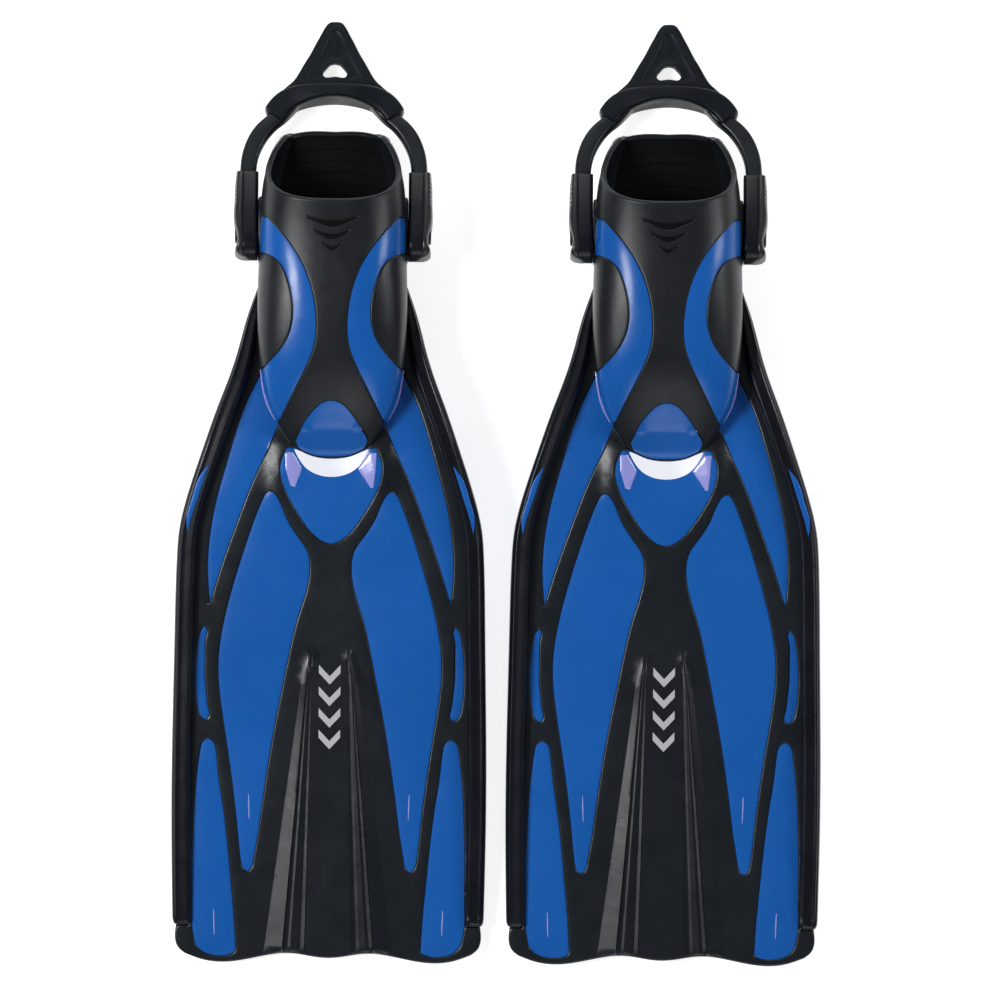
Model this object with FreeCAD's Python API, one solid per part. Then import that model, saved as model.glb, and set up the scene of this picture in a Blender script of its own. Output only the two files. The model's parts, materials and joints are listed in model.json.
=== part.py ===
import FreeCAD, Part
import math
import os
from FreeCAD import Vector

# A pair of open-heel swim fins lying sole down, heel straps towards +Y, blade tips towards -Y.
# All lengths are in millimetres. One fin is built about x = 0 and then placed twice.

# ---------------------------------------------------------------- driving dimensions
FIN_OFFSET = 123.8            # each fin's centre line, from the middle of the pair

# The floor line: the upper face of the blade and of the sole, seen from the side.
SOLE_ANGLE = 11.8             # the sole rises from the heel to the toe
BLADE_ANGLE = 6.0             # the blade falls from the toe to the tip
KNEE_Y = 46.0                 # where the two straight stretches would meet
KNEE_Z = 51.5
KNEE_RADIUS = 380.0
HEEL_Y = 266.0                # rear end of the sole
SOLE_JOIN_Y = 152.0           # the blade plate meets the sole plate under the ball of the foot
TIP_Y = -346.0                # the blade's tip on the centre line

PLATE_THICKNESS = 3.0
BAND_THICKNESS = 1.4          # black rubber moulded over the plate, above and below
SOLE_THICKNESS = 3.2
TREAD_THICKNESS = 1.6
TREAD_PITCH = 11.0
TREAD_WIDTH = 5.0
TREAD_INSET = 5.0             # the bars stop short of the sole's sides
HEEL_BLOCK_Y = 236.0          # front of the flat block under the heel
HEEL_BLOCK_HALF_WIDTH = 34.0
HEEL_BLOCK_SETBACK = 2.0      # from the sole's rear end

POCKET_SQUARENESS = 2.8       # exponent of the pocket's rounded cross-section
POCKET_CENTRE = 0.42          # height of its widest line, as a share of its height
POCKET_WALL = 4.0
FRAME_DEPTH = 2.0             # depth at which the hard frame runs under the rubber
FRAME_LOW_Z = 34.0            # lower edge of the hard frame on the pocket's sides
FRAME_REAR_Y = 204.0
RIM_HEEL_Z = 9.0              # height of the pocket's rim at the heel end
RIM_TOP_Y = 214.0             # top of the rim, over the instep
RIM_TOP_Z = 95.0

HINGE_Y = 190.0               # pivot line of the heel strap
HINGE_Z = 53.0
STRAP_DROOP = 17.0            # the strap hangs this far below level
POST_RADIUS = 5.0
POST_CLEARANCE = 0.06
POST_HEAD_RADIUS = 8.0
POST_HEAD_THICKNESS = 1.2
POST_INNER_X = 49.0
POST_OUTER_X = 67.4
CLIP_THICKNESS = 1.2
CLIP_SETBACK = 0.4            # from the post's outer end
CLIP_RADIUS = 7.4
CLIP_CLEARANCE = 0.6
BUCKLE_INNER_X = 55.6
BUCKLE_SPLIT_X = 68.4         # inner face of the buckle's cover
BUCKLE_BLANK = ((50, -30, -20), (80, 60, 20))   # a block that holds one whole buckle
BUCKLE_HALF_HEIGHT = 13.0
STRAP_HALF_HEIGHT = 7.0
STRAP_END_S = 19.0            # where the strap ends inside its buckle
STRAP_END_LENGTH = 5.0
STRAP_END_HALF_HEIGHT = 9.0   # the moulded stop on the strap's end
STRAP_ROOM_X = (59.2, 69.2)   # where the strap runs inside the buckle
PAD_HALF_HEIGHT = 15.0
PAD_ARM_HALF_HEIGHT = 9.5
PAD_CHANNEL_CLEARANCE = 0.3
TAB_HALF_HEIGHT = 2.6

# Stations of a side rail: y, outer edge, width in plan.
RAIL_STATIONS = [
    (SOLE_JOIN_Y, 55.2, 5), (128, 63.5, 9), (105, 69.6, 12), (83, 76.6, 14), (64, 83.8, 14.5),
    (31, 95.2, 14.5), (-6, 107, 14.5), (-28, 112, 14.5), (-50, 113.8, 14.5),
    (-110, 115.2, 14.5), (-228, 116.8, 14.5), (-322, 115.5, 14.5),
]
RAIL_TOP = [(SOLE_JOIN_Y, 40), (128, 49), (100, 55.5), (60, 60.5), (20, 60), (-40, 54.5), (-130, 44), (-240, 31), (-322, 18)]
RAIL_BOTTOM = [(SOLE_JOIN_Y, 27), (128, 24), (100, 28.5), (60, 33), (20, 33.5), (-40, 26.5), (-130, 15.5), (-220, 5.5), (-285, 0)]
RAIL_FOOT_Y = -285.0
RAIL_BLANK_X = (40, 125)      # the rail lies between these
RAIL_WINDOW_LOW_Z = 52.0      # depth of the coloured strip in the rail

# Stations of the foot pocket: y, half width, height of the top.
POCKET_STATIONS = [
    (25, 9, 49.2), (29, 21, 51.4), (35, 29.6, 56), (42, 34.6, 61.5), (52, 41, 68.8), (63, 46.8, 75.4),
    (76, 50.6, 81.8), (90, 52.6, 87.4), (120, 55, 94.5), (150, 55.2, 97.8), (187, 54.3, 98),
    (217, 53.3, 95), (240, 49.6, 91.5), (256, 44, 88.5), (274, 35, 85),
]
MID_START_Y = 35              # the layers inside the pocket's wall begin behind the toe's front
INNER_START_Y = 42


# ---------------------------------------------------------------- small helpers
def plan(x, y):
    return Vector(x, y, 0)


def side(y, z):
    return Vector(0, y, z)


def face(stretches, place=plan):
    """A flat face bounded by stretches of points: a line through two points, a smooth curve through more."""
    edges = []
    for stretch in stretches:
        points = [place(*point) for point in stretch]
        if len(points) == 2:
            edges.append(Part.makeLine(points[0], points[1]))
        else:
            spline = Part.BSplineCurve()
            spline.interpolate(points)
            edges.append(spline.toShape())
    return Part.Face(Part.Wire(edges))


def prism(stretches, low=-20.0, high=150.0):
    """The outline in plan, made solid between two heights."""
    flat = face(stretches)
    flat.translate(Vector(0, 0, low))
    return flat.extrude(Vector(0, 0, high - low))


def side_prism(stretches, x_low, x_high):
    """The outline seen from the side, made solid between two x."""
    flat = face(stretches, side)
    flat.translate(Vector(x_low, 0, 0))
    return flat.extrude(Vector(x_high - x_low, 0, 0))


def flip(points):
    """The same points on the other side of the centre line, in reverse order."""
    return [(-x, y) for x, y in reversed(points)]


def mirrored(shape):
    return shape.mirror(Vector(0, 0, 0), Vector(1, 0, 0))


def both_sides(shape):
    return shape.fuse(mirrored(shape))


def box(low, high):
    return Part.makeBox(high[0] - low[0], high[1] - low[1], high[2] - low[2], Vector(*low))


def largest(shape):
    """The one solid of a cut that isn't a crumb."""
    return max(shape.Solids, key=lambda solid: solid.Volume)


def rod(radius, x_low, x_high, y, z):
    return Part.makeCylinder(radius, x_high - x_low, Vector(x_low, y, z), Vector(1, 0, 0))


# ---------------------------------------------------------------- the floor line
ANGLE_1 = math.radians(SOLE_ANGLE)
ANGLE_2 = math.radians(BLADE_ANGLE)
TANGENT = KNEE_RADIUS * math.tan((ANGLE_1 + ANGLE_2) / 2)
ARC_HEEL = (KNEE_Y + TANGENT * math.cos(ANGLE_1), KNEE_Z - TANGENT * math.sin(ANGLE_1))
ARC_TIP = (KNEE_Y - TANGENT * math.cos(ANGLE_2), KNEE_Z - TANGENT * math.sin(ANGLE_2))
ARC_CENTRE = (ARC_HEEL[0] - KNEE_RADIUS * math.sin(ANGLE_1), ARC_HEEL[1] - KNEE_RADIUS * math.cos(ANGLE_1))


def floor_z(y):
    """Height of the floor line at y."""
    if y > ARC_HEEL[0]:
        return KNEE_Z - (y - KNEE_Y) * math.tan(ANGLE_1)
    if y < ARC_TIP[0]:
        return KNEE_Z - (KNEE_Y - y) * math.tan(ANGLE_2)
    return ARC_CENTRE[1] + math.sqrt(KNEE_RADIUS ** 2 - (y - ARC_CENTRE[0]) ** 2)


def floor_offset(offset):
    """Four points and the arc's middle of the floor line moved up by offset: heel end, arc, tip end."""
    reach = 340.0
    normal_1 = (math.sin(ANGLE_1), math.cos(ANGLE_1))
    normal_2 = (-math.sin(ANGLE_2), math.cos(ANGLE_2))
    arc_heel = (ARC_HEEL[0] + offset * normal_1[0], ARC_HEEL[1] + offset * normal_1[1])
    arc_tip = (ARC_TIP[0] + offset * normal_2[0], ARC_TIP[1] + offset * normal_2[1])
    lean = (ANGLE_1 - ANGLE_2) / 2
    radius = KNEE_RADIUS + offset
    arc_middle = (ARC_CENTRE[0] + radius * math.sin(lean), ARC_CENTRE[1] + radius * math.cos(lean))
    heel_reach = reach - ARC_HEEL[0]
    heel = (arc_heel[0] + heel_reach, arc_heel[1] - heel_reach * math.tan(ANGLE_1))
    tip_reach = ARC_TIP[0] + reach + 40.0
    tip = (arc_tip[0] - tip_reach, arc_tip[1] - tip_reach * math.tan(ANGLE_2))
    return heel, arc_heel, arc_middle, arc_tip, tip


def layer(low, high, half_width=130.0):
    """The slab between two offsets of the floor line, over the whole length of the fin."""
    top = [side(*point) for point in floor_offset(high)]
    bottom = [side(*point) for point in floor_offset(low)]
    edges = [
        Part.makeLine(top[0], top[1]),
        Part.Arc(top[1], top[2], top[3]).toShape(),
        Part.makeLine(top[3], top[4]),
        Part.makeLine(top[4], bottom[4]),
        Part.makeLine(bottom[4], bottom[3]),
        Part.Arc(bottom[3], bottom[2], bottom[1]).toShape(),
        Part.makeLine(bottom[1], bottom[0]),
        Part.makeLine(bottom[0], top[0]),
    ]
    slab = Part.Face(Part.Wire(edges))
    slab.translate(Vector(-half_width, 0, 0))
    return slab.extrude(Vector(2 * half_width, 0, 0))


# ---------------------------------------------------------------- outlines of the blade, in plan
RAIL_OUTER_EDGE = [(x, y) for y, x, width in RAIL_STATIONS]
RAIL_INNER_EDGE = [(x - width, y) for y, x, width in RAIL_STATIONS]
RAIL_END = RAIL_INNER_EDGE[-1]
RAIL_START = RAIL_INNER_EDGE[0]
TIP_CORNER = [(112.8, RAIL_END[1]), (113.6, -331), (111.4, -338.5), (106, -343.2)]
TIP_EDGE = [(106, -343.2), (92, -348), (75, -349.4), (55, -346.2), (27, -342.7), (10, -345.2), (0, TIP_Y)]


def blade_outline():
    tip = TIP_EDGE + flip(TIP_EDGE)[1:]
    step = [RAIL_END, TIP_CORNER[0]]
    return [
        RAIL_INNER_EDGE, step, TIP_CORNER, tip, flip(TIP_CORNER), flip(step), flip(RAIL_INNER_EDGE),
        [(-RAIL_START[0], RAIL_START[1]), RAIL_START],
    ]


VENT_TIP = (27, 31)
VENT_UPPER = [VENT_TIP, (14, 26.3), (0, 24.6), (-14, 26.3), (-VENT_TIP[0], VENT_TIP[1])]
VENT_LOWER = [(-VENT_TIP[0], VENT_TIP[1]), (-18, 17.6), (0, 11.5), (18, 17.6), VENT_TIP]

SHIELD_SIDE = [(33, 30), (37.6, 19), (36, 7), (30.3, -6), (21.8, -20), (11, -33), (0, -38)]
SHIELD = [SHIELD_SIDE + flip(SHIELD_SIDE)[1:], [(-33, 30), (33, 30)]]

UPPER_PANEL = [
    [(50, 91), (61.8, 68), (76.2, 24), (84.4, -6), (89.5, -35), (90.6, -62), (89, -82)],
    [(89, -82), (79.2, -50), (68.5, -20), (57.4, 9), (47.4, 31), (37.7, 54), (27, 76), (19.6, 91)],
    [(19.6, 91), (50, 91)],
]
LARGE_PANEL = [
    [
        (52.5, -253.4), (56, -274.2), (57.6, -279.4), (60.4, -281.6), (63.2, -279.4), (64.9, -274), (67.2, -253.4),
        (70.7, -222.4), (75.1, -191.3), (79.9, -160), (82.3, -138), (82, -118.8), (78.9, -98), (70.3, -64), (61.1, -34.4),
        (49.9, -4.8), (47.6, -1.2), (45, 0), (42.4, -1.2), (39.6, -4.8), (33.1, -19.6), (23.8, -34.4), (17.6, -44),
        (15.6, -55), (17, -69), (24.2, -93.6), (32.2, -129), (40.3, -170.6), (47, -212), (52.5, -253.4),
    ],
]
THIN_PANEL = [
    [(93, -100.2), (95, -102.6), (96.8, -108.4), (98.2, -118.8), (99.1, -131), (98.9, -146), (97.5, -160), (94.6, -167.4),
     (91.8, -169.4)],
    [(91.8, -169.4), (89.6, -166.6), (90.3, -160), (91.6, -149.8), (92.7, -139), (92.8, -120), (92.2, -108),
     (91.6, -102), (93, -100.2)],
]
LOWER_PANEL = [
    [(90, -183.4), (86.4, -185.4), (84.3, -191.3), (82, -212), (78.8, -232.7), (76.2, -253.4), (74, -274.2),
     (72.1, -294.9), (70, -318), (69, -336.3)],
    [(69, -336.3), (69.4, -341.5), (73, -343.6), (84, -344.2), (93, -341.5), (98.4, -336)],
    [(98.4, -336), (100.4, -326), (100.7, -305), (100.7, -274), (100.2, -253.4), (99.4, -232.7), (98, -212),
     (95.4, -191.3), (93.4, -185.4), (90, -183.4)],
]
RAIL_WINDOW = [
    [(90, 20), (93.6, 9), (98.4, -6), (102.9, -20), (105.5, -31)],
    [(105.5, -31), (106.6, -20), (102.9, -6), (98, 9), (90, 20)],
]
PANELS = [UPPER_PANEL, LARGE_PANEL, THIN_PANEL, LOWER_PANEL]

STRIPE = [
    [(60, 204), (49.2, 202)],
    [(49.2, 202), (35.5, 187), (24.8, 172), (17.8, 157), (13.7, 142), (11.8, 124), (13.2, 108), (19.6, 91)],
    [(19.6, 91), (27, 76), (37.7, 54), (47.4, 31)],
    [(47.4, 31), (60, 31)],
    [(60, 31), (60, 90)],
    [(60, 90), (50, 91)],
    [(50, 91), (37.4, 105), (29.6, 122), (28.9, 142), (32.6, 157), (40, 170), (60, 177)],
    [(60, 177), (60, 204)],
]
DOME_SIDE = [(0, 67), (10.7, 61.5), (22.6, 46), (26.6, 38), (25.2, 31.5), (14, 27.3), (0, 26)]
DOME = [DOME_SIDE + flip(DOME_SIDE)[1:]]


# ---------------------------------------------------------------- blade
def vent():
    return prism([VENT_UPPER, VENT_LOWER])


def windows():
    cut = prism(SHIELD)
    for panel in PANELS:
        cut = cut.fuse(both_sides(prism(panel)))
    return cut


def build_blade(pocket_outer):
    """The hard blade plate and the rubber moulded over both its faces."""
    outline = prism(blade_outline())
    hole = vent()
    plate = layer(-PLATE_THICKNESS, 0).common(outline).cut(hole)
    openings = windows().fuse(hole)
    upper = layer(0, BAND_THICKNESS).common(outline).cut(openings).cut(pocket_outer)
    lower = layer(-PLATE_THICKNESS - BAND_THICKNESS, -PLATE_THICKNESS).common(outline).cut(openings)
    return plate, upper, lower


def build_rail(pocket_outer):
    """One side rail, with the coloured strip let into its top."""
    ends = [[RAIL_OUTER_EDGE[-1], RAIL_END], [RAIL_START, RAIL_OUTER_EDGE[0]]]
    strip = prism([RAIL_OUTER_EDGE, ends[0], RAIL_INNER_EDGE[::-1], ends[1]])
    foot = [(RAIL_FOOT_Y, 0), (RAIL_STATIONS[-1][0], 0)]
    profile = side_prism(
        [RAIL_TOP, [RAIL_TOP[-1], foot[1]], [foot[1], foot[0]], RAIL_BOTTOM[::-1], [RAIL_BOTTOM[0], RAIL_TOP[0]]],
        *RAIL_BLANK_X,
    )
    rail = strip.common(profile).cut(pocket_outer)
    insert = rail.common(prism(RAIL_WINDOW, RAIL_WINDOW_LOW_Z))
    return rail.cut(insert), insert


# ---------------------------------------------------------------- foot pocket
def pocket_section(y, half_width, top, inset):
    """One rounded cross-section of the pocket, standing across it at y."""
    height = top - floor_z(y)
    centre = floor_z(y) + POCKET_CENTRE * (height - inset)
    rise = (1 - POCKET_CENTRE) * (height - inset)
    power = 2 / POCKET_SQUARENESS
    points = []
    steps = 24
    for step in range(steps):
        angle = 2 * math.pi * step / steps - math.pi / 2
        across = math.copysign(abs(math.cos(angle)) ** power, math.cos(angle))
        up = math.copysign(abs(math.sin(angle)) ** power, math.sin(angle))
        points.append(Vector((half_width - inset) * across, y, centre + rise * up))
    spline = Part.BSplineCurve()
    spline.interpolate(points, PeriodicFlag=True)
    return Part.Wire([spline.toShape()])


def pocket_loft(inset, first_y):
    wires = [pocket_section(y, half, top, inset) for y, half, top in POCKET_STATIONS if y >= first_y]
    return Part.makeLoft(wires, True)


def build_pocket():
    """The hard frame with its side stripes and toe dome, and the rubber pocket around it."""
    outer = pocket_loft(0, POCKET_STATIONS[0][0])
    middle = pocket_loft(FRAME_DEPTH, MID_START_Y)
    inner = pocket_loft(POCKET_WALL, INNER_START_Y)
    rise = RIM_TOP_Z - RIM_HEEL_Z
    lean = (HEEL_Y - RIM_TOP_Y) / rise
    high = 140.0
    behind = side_prism(
        [
            [(HEEL_Y, -10), (HEEL_Y, RIM_HEEL_Z)],
            [(HEEL_Y, RIM_HEEL_Z), (HEEL_Y - lean * (high - RIM_HEEL_Z), high)],
            [(HEEL_Y - lean * (high - RIM_HEEL_Z), high), (HEEL_Y + 40, high)],
            [(HEEL_Y + 40, high), (HEEL_Y + 40, -10)],
            [(HEEL_Y + 40, -10), (HEEL_Y, -10)],
        ],
        -70, 70,
    )
    below = layer(-60, 0)
    wall = outer.cut(inner).cut(below).cut(behind)
    stripes = both_sides(prism(STRIPE, FRAME_LOW_Z))
    hood = box((-60, 20, FRAME_LOW_Z), (60, FRAME_REAR_Y, 120))
    under = middle.cut(inner).cut(below).common(hood)
    frame = under.fuse([wall.common(stripes), wall.common(prism(DOME))])
    return outer.cut(below), frame, largest(wall.cut(frame))


# ---------------------------------------------------------------- sole
SOLE_SIDE = [(48.4, SOLE_JOIN_Y), (48.8, 190), (48, 215), (45.6, 240), (42.4, 256)]
SOLE_CORNER = [(42.4, 256), (40.4, 262.5), (34, HEEL_Y)]


def build_sole():
    outline = [SOLE_SIDE, SOLE_CORNER, [SOLE_CORNER[-1], (-34, HEEL_Y)], flip(SOLE_CORNER), flip(SOLE_SIDE)]
    outline.append([(-SOLE_SIDE[0][0], SOLE_JOIN_Y), SOLE_SIDE[0]])
    plate = layer(-SOLE_THICKNESS, 0).common(prism(outline))
    count = int((HEEL_BLOCK_Y - SOLE_JOIN_Y) / TREAD_PITCH)
    half = SOLE_SIDE[0][0] - TREAD_INSET
    under = layer(-SOLE_THICKNESS - TREAD_THICKNESS, -SOLE_THICKNESS)
    bars = []
    for index in range(count):
        y = SOLE_JOIN_Y + (index + 0.6) * TREAD_PITCH
        bars.append(under.common(box((-half, y, 0), (half, y + TREAD_WIDTH, KNEE_Z))))
    block = box(
        (-HEEL_BLOCK_HALF_WIDTH, HEEL_BLOCK_Y, 0),
        (HEEL_BLOCK_HALF_WIDTH, HEEL_Y - HEEL_BLOCK_SETBACK, KNEE_Z),
    )
    heel = block.cut(layer(-SOLE_THICKNESS, 2 * KNEE_Z))
    return plate, Part.makeCompound(bars + heel.Solids)


# ---------------------------------------------------------------- heel strap
# Built in the strap's own plane: x across, s from the pivot line towards the heel, n across its thickness.
BUCKLE_PLAN = [
    [(BUCKLE_INNER_X, -20.5), (62, -20.5)],
    [(62, -20.5), (68, -18.6), (71.4, -11), (72.8, 4), (73.3, 22), (73, 36), (72, 46.5)],
    [(72, 46.5), (BUCKLE_INNER_X, 46.5)],
    [(BUCKLE_INNER_X, 46.5), (BUCKLE_INNER_X, -20.5)],
]
BUCKLE_NOSE = [(8, -BUCKLE_HALF_HEIGHT), (-6, -BUCKLE_HALF_HEIGHT), (-17, -9), (-20.4, 0), (-17, 9),
               (-6, BUCKLE_HALF_HEIGHT), (8, BUCKLE_HALF_HEIGHT)]
BUCKLE_TAIL = [(46.4, 10), (46.4, -10)]
STRAP_OUTER = [(69.2, STRAP_END_S), (69.4, 47), (68.6, 58), (66.2, 68), (62, 77.5), (55, 86.5), (46, 94)]
STRAP_INNER = [(59.2, STRAP_END_S), (59.4, 47), (58.5, 57), (55.8, 66), (51, 75), (44, 83), (37, 88.5)]
PAD_OUTER = [(53, 94), (50, 100), (45.5, 106), (37, 112), (22, 115), (0, 115.6)]
PAD_INNER = [(39.8, 84.6), (33, 94), (20, 101.5), (0, 105)]
TAB_SIDE = [(41, 109.6), (36, 114.6), (30.5, 119.8), (26.8, 125.6), (22, 134.4), (18.2, 141), (13.9, 149.7),
            (10.4, 156.4), (6.6, 163.2), (4.2, 165.4), (0, 165.9)]
HOLE_SIDE = [(0, 133.2), (3.6, 132.2), (6.2, 129.4), (9, 124.6), (8.2, 122.9), (0, 122.7)]


def strap_place(shape):
    """From the strap's own plane to its place on the fin."""
    placed = shape.copy()
    placed.rotate(Vector(0, 0, 0), Vector(1, 0, 0), -STRAP_DROOP)
    placed.translate(Vector(0, HINGE_Y, HINGE_Z))
    return placed


def strap_solid(grow=0.0):
    """The elastic loop from buckle to buckle. grow widens it for the channel in the heel pad."""
    middle_out = 111.4 + grow
    middle_in = 107.2 - grow
    outer = [(x + grow, s + grow) for x, s in STRAP_OUTER] + [(24, 109.6 + grow), (0, middle_out)]
    inner = [(x - grow, s - grow) for x, s in STRAP_INNER] + [(20, 103.8 - grow), (0, middle_in)]
    half = STRAP_HALF_HEIGHT + grow
    return prism(crescent(outer, inner), -half, half)


def crescent(outer, inner):
    """A closed bow, symmetric about x = 0, between two edges that run from its +X end to the middle."""
    outer_edge = outer + flip(outer)[1:]
    inner_edge = [(-x, s) for x, s in inner] + inner[::-1][1:]
    return [outer_edge, [outer_edge[-1], inner_edge[0]], inner_edge, [inner_edge[-1], outer_edge[0]]]


def build_buckle():
    """Housing, cover and strap end on the +X side, with room for the post, its clip and the strap."""
    outline = prism(BUCKLE_PLAN, -BUCKLE_HALF_HEIGHT, BUCKLE_HALF_HEIGHT)
    profile = side_prism(
        [BUCKLE_NOSE, [BUCKLE_NOSE[-1], BUCKLE_TAIL[0]], BUCKLE_TAIL, [BUCKLE_TAIL[1], BUCKLE_NOSE[0]]],
        BUCKLE_BLANK[0][0], BUCKLE_BLANK[1][0],
    )
    body = outline.common(profile)
    cover = body.common(box((BUCKLE_SPLIT_X,) + BUCKLE_BLANK[0][1:], BUCKLE_BLANK[1]))
    housing = body.cut(cover)
    bore = rod(POST_RADIUS + POST_CLEARANCE, BUCKLE_BLANK[0][0], BUCKLE_SPLIT_X, 0, 0)
    recess_start = POST_OUTER_X - CLIP_SETBACK - CLIP_THICKNESS - CLIP_CLEARANCE
    recess = rod(CLIP_RADIUS + CLIP_CLEARANCE, recess_start, BUCKLE_SPLIT_X, 0, 0)
    return housing.cut(bore).cut(recess), cover


def build_post():
    """The pin that the buckle turns on, with its head inside the pocket, and the clip that keeps the buckle on."""
    shaft = rod(POST_RADIUS, POST_INNER_X, POST_OUTER_X, HINGE_Y, HINGE_Z)
    head = rod(POST_HEAD_RADIUS, POST_INNER_X, POST_INNER_X + POST_HEAD_THICKNESS, HINGE_Y, HINGE_Z)
    groove = POST_OUTER_X - CLIP_SETBACK - CLIP_THICKNESS
    ring = rod(CLIP_RADIUS, groove, groove + CLIP_THICKNESS, HINGE_Y, HINGE_Z)
    clip = ring.cut(rod(POST_RADIUS, groove, groove + CLIP_THICKNESS, HINGE_Y, HINGE_Z))
    return shaft.fuse(head), clip


def build_pad():
    """The heel pad with its channel for the strap, and the pull tab behind it."""
    crown = [
        (-56, -PAD_ARM_HALF_HEIGHT), (-34, -PAD_ARM_HALF_HEIGHT - 1.5), (-16, -PAD_HALF_HEIGHT + 0.6),
        (0, -PAD_HALF_HEIGHT), (16, -PAD_HALF_HEIGHT + 0.6), (34, -PAD_ARM_HALF_HEIGHT - 1.5),
        (56, -PAD_ARM_HALF_HEIGHT),
    ]
    top = [(x, -n) for x, n in crown]
    front = face([crown, [crown[-1], top[-1]], top[::-1], [top[0], crown[0]]], lambda x, n: Vector(x, 70, n))
    pad = prism(crescent(PAD_OUTER, PAD_INNER), -20, 20).common(front.extrude(Vector(0, 60, 0)))
    tab_outline = [TAB_SIDE + flip(TAB_SIDE)[1:], [(-TAB_SIDE[0][0], TAB_SIDE[0][1]), TAB_SIDE[0]]]
    hole = prism([HOLE_SIDE + flip(HOLE_SIDE)[1:]], -20, 20)
    tab = prism(tab_outline, -TAB_HALF_HEIGHT, TAB_HALF_HEIGHT).cut(hole)
    return pad.fuse(tab).removeSplitter().cut(strap_solid(PAD_CHANNEL_CLEARANCE))


def build_strap_assembly():
    strap = strap_solid()
    housing, cover = build_buckle()
    first, last = STRAP_ROOM_X
    start = STRAP_END_S - STRAP_END_LENGTH
    low, high = -STRAP_END_HALF_HEIGHT, STRAP_END_HALF_HEIGHT
    slot = both_sides(box((first, start, low), (last, STRAP_END_S, high)))
    end = box((first, start, low), (BUCKLE_SPLIT_X, STRAP_END_S, high))
    housing = housing.cut(strap).cut(slot)
    cover = cover.cut(strap).cut(slot)
    return strap, housing, cover, end, build_pad()


# ---------------------------------------------------------------- one fin, then two
def build_fin():
    """Every piece of one fin. A pair of shapes is the +X piece and the -X piece."""
    pocket_outer, frame, rubber = build_pocket()
    plate, upper, lower = build_blade(pocket_outer)
    rail, insert = build_rail(pocket_outer)
    sole, tread = build_sole()
    post, clip = build_post()
    strap, housing, cover, end, pad = build_strap_assembly()
    posts = both_sides(post)
    pieces = {
        "blade_plate": plate,
        "power_bands": upper,
        "underside_bands": lower,
        "rail_inserts": both_sides(insert),
        "pocket_frame": frame.cut(posts),
        "foot_pocket": rubber.cut(posts),
        "sole_plate": sole,
        "sole_tread": tread,
        "strap": strap_place(strap),
        "heel_pad": strap_place(pad),
    }
    pairs = {
        "rail": rail,
        "strap_post": post,
        "post_clip": clip,
        "buckle": strap_place(housing),
        "buckle_cover": strap_place(cover),
        "strap_end": strap_place(end),
    }
    return pieces, pairs


def main():
    os.makedirs("parts", exist_ok=True)
    pieces, pairs = build_fin()
    for fin, offset, outer_sign in (("left", -FIN_OFFSET, -1), ("right", FIN_OFFSET, 1)):
        place = Vector(offset, 0, 0)
        for name, shape in pieces.items():
            shape.translated(place).exportStep(f"parts/{fin}_{name}.step")
        for name, shape in pairs.items():
            for label, sign in (("outer", outer_sign), ("inner", -outer_sign)):
                piece = shape if sign > 0 else mirrored(shape)
                piece.translated(place).exportStep(f"parts/{fin}_{name}_{label}.step")


main()
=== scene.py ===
import bpy
import json
import math
import numpy as np
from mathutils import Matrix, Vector
from mathutils.geometry import delaunay_2d_cdt


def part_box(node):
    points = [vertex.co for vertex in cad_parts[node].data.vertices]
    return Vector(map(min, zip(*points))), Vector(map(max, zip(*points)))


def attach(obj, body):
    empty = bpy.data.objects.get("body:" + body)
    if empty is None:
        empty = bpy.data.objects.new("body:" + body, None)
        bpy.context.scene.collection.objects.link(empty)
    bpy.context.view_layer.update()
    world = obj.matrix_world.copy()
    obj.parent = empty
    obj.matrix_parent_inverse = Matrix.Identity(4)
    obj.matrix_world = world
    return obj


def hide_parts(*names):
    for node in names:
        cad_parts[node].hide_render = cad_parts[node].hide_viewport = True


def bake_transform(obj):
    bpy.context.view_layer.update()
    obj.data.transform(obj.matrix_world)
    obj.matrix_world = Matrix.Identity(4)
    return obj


# Looks of a pair of open-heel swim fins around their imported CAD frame.
# Shapes are worked out in millimetres about one fin's centre line, and placed in metres on both fins.

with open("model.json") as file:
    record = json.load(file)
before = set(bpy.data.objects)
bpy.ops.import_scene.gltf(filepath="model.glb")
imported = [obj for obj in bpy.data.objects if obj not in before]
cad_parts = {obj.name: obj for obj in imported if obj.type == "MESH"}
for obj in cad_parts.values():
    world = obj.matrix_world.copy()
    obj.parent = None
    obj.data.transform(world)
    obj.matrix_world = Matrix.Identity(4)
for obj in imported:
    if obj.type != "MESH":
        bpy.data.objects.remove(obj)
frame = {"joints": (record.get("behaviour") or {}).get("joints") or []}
for spare in ("Cube", "Camera", "Light"):
    if spare in bpy.data.objects:
        bpy.data.objects.remove(bpy.data.objects[spare])
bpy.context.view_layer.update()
MM = 0.001
FINS = ("left", "right")


def centre_x(node):
    """The middle of a CAD node across the pair."""
    low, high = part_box(node)
    return (low.x + high.x) / 2


FIN_X = {fin: centre_x(f"{fin}_blade_plate") for fin in FINS}
HINGE = next(j for j in frame["joints"] if j["name"] == "left_strap_swing")["pos_m"]
HINGE_Y, HINGE_Z = HINGE[1] / MM, HINGE[2] / MM

# ---- sizes, in millimetres
SOLE_ANGLE = math.radians(11.8)
BLADE_ANGLE = math.radians(6.0)
KNEE_Y, KNEE_Z, KNEE_RADIUS = 46.0, 51.5, 380.0
HEEL_Y = 266.0
SOLE_JOIN_Y = 150.0
PLATE = 3.0
BAND = 1.4
BAND_ROUND = 1.3
SOLE = 3.2
SQUARENESS = 2.8
POCKET_CENTRE = 0.42
SKIN, LINER = 2.8, 4.2
RIM_BEAD = 2.35
RIM_HEEL_Z, RIM_TOP_Y, RIM_TOP_Z = 9.0, 214.0, 95.0
STRAP_DROOP = math.radians(17.0)

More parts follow.
